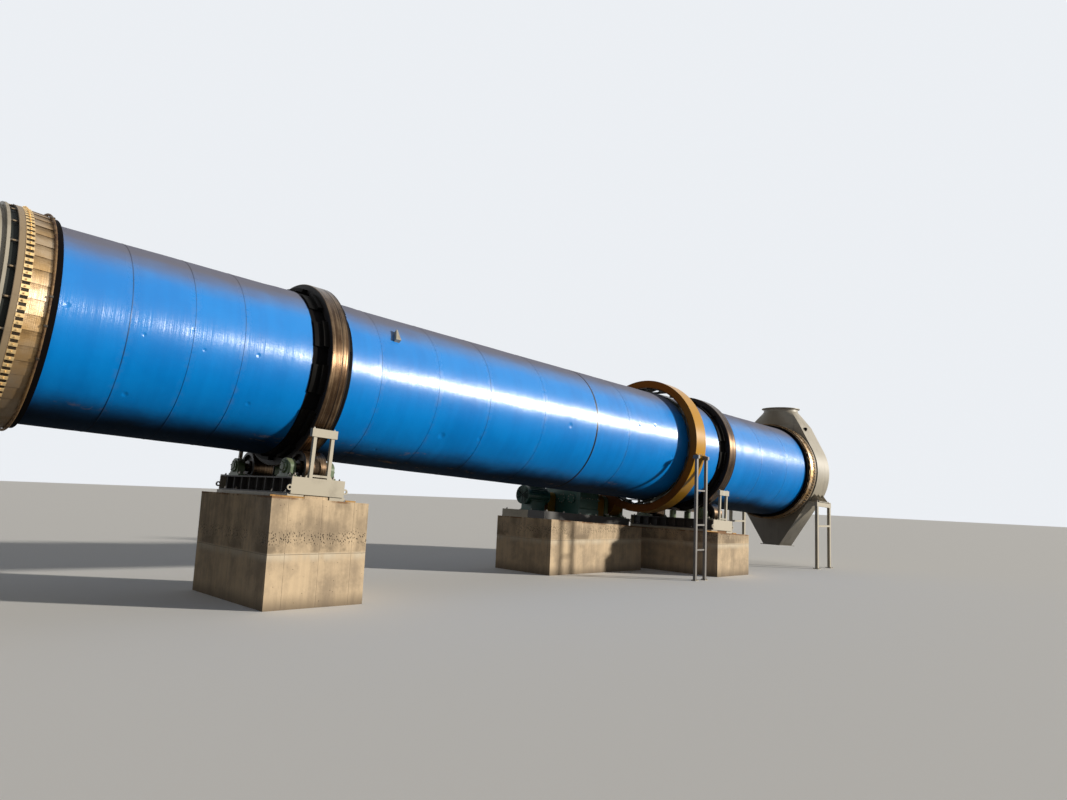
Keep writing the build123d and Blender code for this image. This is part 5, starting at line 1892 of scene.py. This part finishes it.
def leg_feet(shop: Workshop, name: str, feet: Array, width: float) -> None:
    """A square base plate with four anchor bolts under every leg that stands on the ground.

    Args:
        shop: makes the pieces.
        name: start of the pieces' names.
        feet: the legs' middles at ground level.
        width: width of a plate.
    """
    thickness = 0.014
    reach = width / 2 - 0.022
    flat = block((width, width, thickness), 0.003).placed(*upright_frames(feet, ALONG, UPRIGHT))
    corners = np.array([(x, y, thickness) for x in (-reach, reach) for y in (-reach, reach)])
    spots = (feet[:, None] + corners[None]).reshape(-1, 3)
    shop.piece(f"{name}_base_plates", flat, "frame")
    shop.fasteners(f"{name}_anchors", bolt(0.020).placed(*upright_frames(spots, ALONG, UPRIGHT)))


@dataclass
class Hoods:
    """Finishes and fittings of the feed hood and the discharge hood.

    Attributes:
        goal_x: middles of the two goalposts.
        goal_side: from the drum's middle to their legs.
        goal_reach: from a goalpost's middle to its legs along the drum.
        goal_plate: width of the legs' base plates.
        foot_drop: level of the hoods' foot plates below the axis.
        foot_plate: thickness of the foot plates.
        bolt_stations: middles of the foot plates.
        bolt_reaches: where their bolts stand.
        gusset_reaches: where their gussets stand.
        gusset_side: the gussets' outer corner.
        gusset_top: level of the gussets' upper corner below the axis.
        hood_radii: radius of each hood's round part.
        lug_station: the lifting lug's station.
        lug_side: its side.
        lug_rise: its height above the axis.
        slope_turn: slope of the discharge hood's band under it, in degrees.
    """

    goal_x: tuple[float, float] = (-5.7065, 18.4875)
    goal_side: float = 1.610
    goal_reach: float = 0.453
    goal_plate: float = 0.19
    foot_drop: float = 0.9695
    foot_plate: float = 0.020
    foot_bolt: float = 0.028
    bolt_stations: tuple[float, float] = (-5.667, 18.554)
    bolt_reaches: tuple[float, ...] = (-0.42, -0.14, 0.14, 0.42)
    gusset_reaches: tuple[float, ...] = (-0.28, 0.0, 0.28)
    gusset_side: float = 1.66
    gusset_top: float = 0.700
    hood_radii: tuple[float, float] = (1.570, 1.620)
    lug_station: float = 18.35
    lug_side: float = -1.02
    lug_rise: float = 1.50
    slope_turn: float = 28.98

    def feet(self, shop: Workshop) -> None:
        """Bolts and gussets on the hoods' foot plates, and plates under the goalposts' legs.

        Args:
            shop: makes the pieces.
        """
        top = self.foot_drop - self.foot_plate
        bolts: list[Solid] = []
        gussets: list[Solid] = []
        for station, radius in zip(self.bolt_stations, self.hood_radii):
            outline = np.array([(math.sqrt(radius ** 2 - top ** 2), -top), (self.gusset_side, -top),
                                (math.sqrt(radius ** 2 - self.gusset_top ** 2), -self.gusset_top)])
            gusset = plate(outline, 0.010)
            stands = AXIS.place(station + np.array(self.gusset_reaches), 0.0, 0.0)
            for side in (-1.0, 1.0):
                spots = AXIS.deck(station + np.array(self.bolt_reaches), side * self.goal_side, top)
                bolts.append(bolt(self.foot_bolt).on_deck(spots))
                gussets.append(gusset.placed(*upright_frames(stands, ACROSS * side, AXIS.rise)))
        shop.fasteners("hood_foot_bolts", merged(bolts))
        shop.piece("hood_foot_gussets", merged(gussets), "hood")
        legs = np.array([(x + end * self.goal_reach, side * self.goal_side, 0.0)
                         for x in self.goal_x for end in (-1, 1) for side in (-1, 1)])
        leg_feet(shop, "goalpost", legs, self.goal_plate)

    def lug(self, shop: Workshop) -> None:
        """A lifting lug on the discharge hood's sloping band.

        Args:
            shop: makes the pieces.
        """
        outward = AXIS.outward(math.pi - math.radians(self.slope_turn))
        place = AXIS.deck(self.lug_station, self.lug_side, -self.lug_rise)
        outline = np.array([(-0.075, 0.0), (0.075, 0.0), (0.045, 0.075), (0.0, 0.095), (-0.045, 0.075)])
        frames = upright_frames(place, np.cross(AXIS.downhill, outward), outward)
        shop.piece("hood_lifting_lug", plate(outline, 0.020).placed(*frames), "pad")

    def build(self, shop: Workshop) -> None:
        """Make the hoods' pieces and dress their nodes.

        Args:
            shop: makes the pieces.
        """
        self.feet(shop)
        self.lug(shop)
        shop.dress("hood", "feed_hood", "feed_mouth", "discharge_hood", "discharge_hood_back",
                   "discharge_hood_face", "discharge_spigot", "chute_flange")
        shop.dress("frame", "goalposts_feed", "goalposts_discharge", "roller_portals", "sole_plates")


@dataclass
class Drive:
    """Finishes and fittings of the drive.

    Starts and ends are stations, tops and drops are levels below the drum's axis, and sides are from
    the drum's middle to the drive side.

    Attributes:
        shaft_drop: level of the reducer's and the motor's shafts.
        pinion_side: side of the pinion's shaft.
        input_side: side of the motor's shaft.
        flange_sides: the two rows of bolts in the reducer's joint.
        base_sides: the two rows of anchor bolts in the base.
        bearing_half: from a bearing's middle to its end cover.
        motor_feet: from the motor's fan end to the middle of its feet.
    """

    reducer_start: float = 9.110
    reducer_end: float = 9.950
    reducer_top: float = 1.301
    lid_thickness: float = 0.014
    shaft_drop: float = 1.63098
    pinion_side: float = 1.18498
    input_side: float = 1.92498
    flange_sides: tuple[float, float] = (0.867, 2.243)
    flange_top: float = 1.613
    flange_bolt: float = 0.022
    base_top: float = 2.045
    base_start: float = 7.700
    base_end: float = 11.220
    base_sides: tuple[float, float] = (0.825, 2.355)
    anchor_bolt: float = 0.034
    motor_start: float = 7.960
    motor_radius: float = 0.255
    motor_feet: float = 0.43
    motor_foot: tuple[float, float, float] = (0.56, 0.090, 0.022)
    motor_bolt: float = 0.026
    grille_rings: tuple[float, ...] = (0.05, 0.08, 0.11, 0.14, 0.17, 0.20, 0.23)
    bearing_stations: tuple[float, float] = (10.425, 11.105)
    bearing_half: float = 0.075
    bearing_foot: float = 0.040

    @staticmethod
    def rows(stations: Array, sides: Array | Sequence[float], drop: float) -> Array:
        """Places in rows along the drum: every station with every side, at one level."""
        return AXIS.deck(stations[:, None], np.array(sides)[None], drop).reshape(-1, 3)

    def reducer(self, shop: Workshop) -> None:
        """The reducer's lid, its joint bolts, its end covers' bolts and two lifting lugs.

        Args:
            shop: makes the pieces.
        """
        middle = (self.pinion_side + self.input_side) / 2
        centre = (self.reducer_start + self.reducer_end) / 2
        lid = AXIS.deck(centre, middle, self.reducer_top)
        cover = block((0.34, 0.44, self.lid_thickness), 0.004).on_deck(lid)
        ends = [AXIS.deck(centre, middle + side * 0.52, self.reducer_top) for side in (-1.0, 1.0)]
        ears = plate(np.array([(-0.07, 0.0), (0.07, 0.0), (0.05, 0.09), (-0.05, 0.09)]), 0.022)
        joint = self.rows(np.linspace(self.reducer_start + 0.07, self.reducer_end - 0.07, 7),
                          self.flange_sides, self.flange_top)
        lid_bolts = self.rows(centre + np.array([-0.145, 0.0, 0.145]), middle + np.array([-0.195, 0.195]),
                              self.reducer_top - self.lid_thickness)
        bolts = bolt(self.flange_bolt).on_deck(np.vstack([joint, lid_bolts]))
        for station, sides, way in ((self.reducer_start, (self.pinion_side, middle), -1.0),
                                    (self.reducer_end, (middle, self.input_side), 1.0)):
            for side in sides:
                shaft = AXIS.deck(station, side, self.shaft_drop)
                bolts = bolts.joined(bolt_circle(shaft, AXIS.downhill * way, polygon(8, 0.108, 0.2)))
        shop.piece("reducer_lid", cover.joined(ears.on_deck(np.array(ends))), "drive")
        shop.fasteners("reducer_bolts", bolts)

    def motor(self, shop: Workshop) -> None:
        """The motor's terminal box, its fan grille, and its feet with their bolts.

        Args:
            shop: makes the pieces.
        """
        top = AXIS.deck(self.motor_start + 0.47, self.input_side, self.shaft_drop + 0.02 - self.motor_radius)
        lid = block((0.264, 0.224, 0.014), 0.004)
        lid.points[:, 2] += 0.128
        box = block((0.25, 0.21, 0.13), 0.012).joined(lid).on_deck(top)
        rings = [hoop(radius, 0.007, 0.004) for radius in self.grille_rings]
        spokes = block((0.46, 0.010, 0.006)).placed(
            np.array([[(math.cos(turn), -math.sin(turn), 0.0), (math.sin(turn), math.cos(turn), 0.0),
                       (0.0, 0.0, 1.0)] for turn in (0.0, math.pi / 3, math.tau / 3)]), np.zeros((3, 3)))
        end = AXIS.deck(self.motor_start, self.input_side, self.shaft_drop)
        grille = merged([*rings, spokes]).placed(*upright_frames(end, AXIS.rise, -AXIS.downhill))
        middle = self.motor_start + self.motor_feet
        feet = block(self.motor_foot, 0.004).on_deck(
            AXIS.deck(middle, self.input_side + np.array([-0.19, 0.19]), self.base_top))
        bolts = bolt(self.motor_bolt).on_deck(
            self.rows(middle + np.array([-0.25, 0.25]), self.input_side + np.array([-0.205, 0.205]),
                      self.base_top - self.motor_foot[2]))
        shop.piece("motor_terminal_box", box.joined(feet), "drive")
        shop.piece("motor_fan_grille", grille, "pad")
        shop.fasteners("motor_foot_bolts", bolts)

    def pinion_fittings(self, shop: Workshop) -> None:
        """Foot bolts and an end cover of the pinion's bearings, and the drive base's anchors.

        Args:
            shop: makes the pieces.
        """
        feet = AXIS.deck(np.array(self.bearing_stations)[:, None] + np.array([-0.04, 0.04])[None],
                         self.pinion_side, self.base_top - self.bearing_foot).reshape(-1, 3)
        feet = np.vstack([feet - ACROSS * 0.222, feet + ACROSS * 0.222])
        anchors = self.rows(np.linspace(self.base_start + 0.12, self.base_end - 0.12, 6), self.base_sides,
                            self.base_top)
        end = AXIS.deck(self.bearing_stations[1] + self.bearing_half, self.pinion_side, self.shaft_drop)
        cover = prism(polygon(40, 0.135), 0.0, 0.024, 0.008)
        cover = cover.placed(*upright_frames(end, AXIS.rise, AXIS.downhill))
        cover = cover.joined(bolt_circle(end, AXIS.downhill, polygon(6, 0.108, 0.3), 0.020))
        shop.fasteners("drive_anchors", bolt(self.anchor_bolt).on_deck(np.vstack([feet, anchors])))
        shop.piece("pinion_bearing_cover", cover, "green")

    def build(self, shop: Workshop) -> None:
        """Make the drive's pieces and dress its nodes and the piers.

        Args:
            shop: makes the pieces.
        """
        self.reducer(shop)
        self.motor(shop)
        self.pinion_fittings(shop)
        shop.dress("drive", "reducer", "motor")
        shop.dress("green", "pinion_bearings", "thrust_housings")
        shop.dress("base", "drive_base")
        shop.dress("roller", "thrust_roller_uphill", "thrust_roller_downhill")
        shop.dress("gear", "pinion")
        shop.dress("concrete", "pier_feed", "pier_discharge", "pier_drive")


@dataclass
class Studio:
    """Floor, backdrop, lamps and the camera at the photograph's viewpoint.

    Attributes:
        eye: the camera's place.
        yaw: its heading from +Y towards +X, in degrees.
        pitch: how far it looks up, in degrees.
        roll: how far the picture's horizon falls to the right, in degrees.
        lens: focal length, in millimetres.
        sensor: width of the camera's sensor, in millimetres.
        farthest: how far the camera sees.
        sun_from: direction towards the lamp, as the photograph's shadows give it.
        sun_strength: irradiance of the lamp.
        sun_width: the lamp's angle, in degrees, for soft shadows.
        sun_colour: the lamp's colour.
        sky: strength of the even light.
        sky_colour: colour of the even light.
        backdrop: strength at which the sky is seen.
        floor_colour: the floor's colour to the camera.
        floor_bounce: the floor's colour to the light that it throws back.
        floor_size: the floor's length and width.
        floor_roughness: how dull the floor is.
    """

    eye: tuple[float, float, float] = (-6.489, -13.126, 2.006)
    yaw: float = 44.174
    pitch: float = 7.166
    roll: float = 2.477
    lens: float = 25.520
    sensor: float = 36.0
    farthest: float = 500.0
    sun_from: tuple[float, float, float] = (0.700, -0.665, 0.260)
    sun_strength: float = 4.3
    sun_width: float = 2.6
    sun_colour: Colour = (1.0, 0.94, 0.84)
    sky: float = 0.175
    sky_colour: Colour = (0.93, 0.96, 1.0)
    backdrop: float = 0.90
    floor_colour: Colour = (0.80, 0.79, 0.77)
    floor_bounce: Colour = (0.09, 0.083, 0.075)
    floor_size: float = 400.0
    floor_roughness: float = 0.9

    def camera(self) -> None:
        """Aim the camera by its yaw and pitch, then turn it by its roll."""
        yaw, pitch, roll = (math.radians(value) for value in (self.yaw, self.pitch, self.roll))
        ahead = Vector((math.sin(yaw) * math.cos(pitch), math.cos(yaw) * math.cos(pitch), math.sin(pitch)))
        level = Vector((math.cos(yaw), -math.sin(yaw), 0.0))
        above = level.cross(ahead)
        right = level * math.cos(roll) + above * math.sin(roll)
        up = above * math.cos(roll) - level * math.sin(roll)
        data = bpy.data.cameras.new("camera")
        data.sensor_fit = "HORIZONTAL"
        data.sensor_width = self.sensor
        data.lens = self.lens
        data.clip_end = self.farthest
        made = bpy.data.objects.new("camera", data)
        turn = Matrix((right, up, -ahead)).transposed().to_4x4()
        made.matrix_world = Matrix.Translation(Vector(self.eye)) @ turn
        bpy.context.scene.collection.objects.link(made)
        bpy.context.scene.camera = made

    def lamps(self) -> None:
        """One broad sun and an even sky."""
        data = bpy.data.lights.new("sun", "SUN")
        data.energy = self.sun_strength
        data.angle = math.radians(self.sun_width)
        data.color = self.sun_colour
        made = bpy.data.objects.new("sun", data)
        made.rotation_mode = "QUATERNION"
        made.rotation_quaternion = Vector(self.sun_from).to_track_quat("Z", "Y")
        bpy.context.scene.collection.objects.link(made)
        world = bpy.data.worlds.new("studio")
        bpy.context.scene.world = world
        nodes = Nodes(world)
        strength = nodes.in_sight() * (self.backdrop - self.sky) + self.sky
        sky = nodes.node("ShaderNodeBackground", inputs={"Color": self.sky_colour, "Strength": strength})
        nodes.node("ShaderNodeOutputWorld", inputs={"Surface": sky.outputs[0]})

    def floor(self) -> None:
        """A wide pale floor at ground level."""
        reach = self.floor_size / 2
        mesh = bpy.data.meshes.new("floor")
        corners = [(x * reach, y * reach, 0.0) for x, y in ((-1, -1), (1, -1), (1, 1), (-1, 1))]
        mesh.from_pydata(corners, [], [(0, 1, 2, 3)])
        shader = Shader("studio_floor")
        colour = shader.mix(self.floor_bounce, self.floor_colour, shader.in_sight())
        mesh.materials.append(shader.done(colour, self.floor_roughness, specular=0.1))
        made = bpy.data.objects.new("floor", mesh)
        bpy.context.scene.collection.objects.link(made)

    def build(self) -> None:
        """Set the studio up."""
        self.camera()
        self.lamps()
        self.floor()
        bpy.context.scene.view_settings.view_transform = "Standard"


def main() -> None:
    """Load the frame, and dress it."""
    logging.basicConfig(level=logging.INFO, format="%(name)s %(message)s")
    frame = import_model()
    Studio().build()
    shop = Workshop(frame)
    Drum().build(shop)
    Seal("feed", -4.642, -1, "tab").build(shop)
    Seal("discharge", 17.944, 1, "tab_dull").build(shop)
    RollerStation("feed", 0.0).build(shop)
    RollerStation("discharge", 12.63).build(shop)
    GearGuard().build(shop)
    Hoods().build(shop)
    Drive().build(shop)
    log.info("added %d triangles", shop.triangles)


if __name__ == "__main__":
    main()
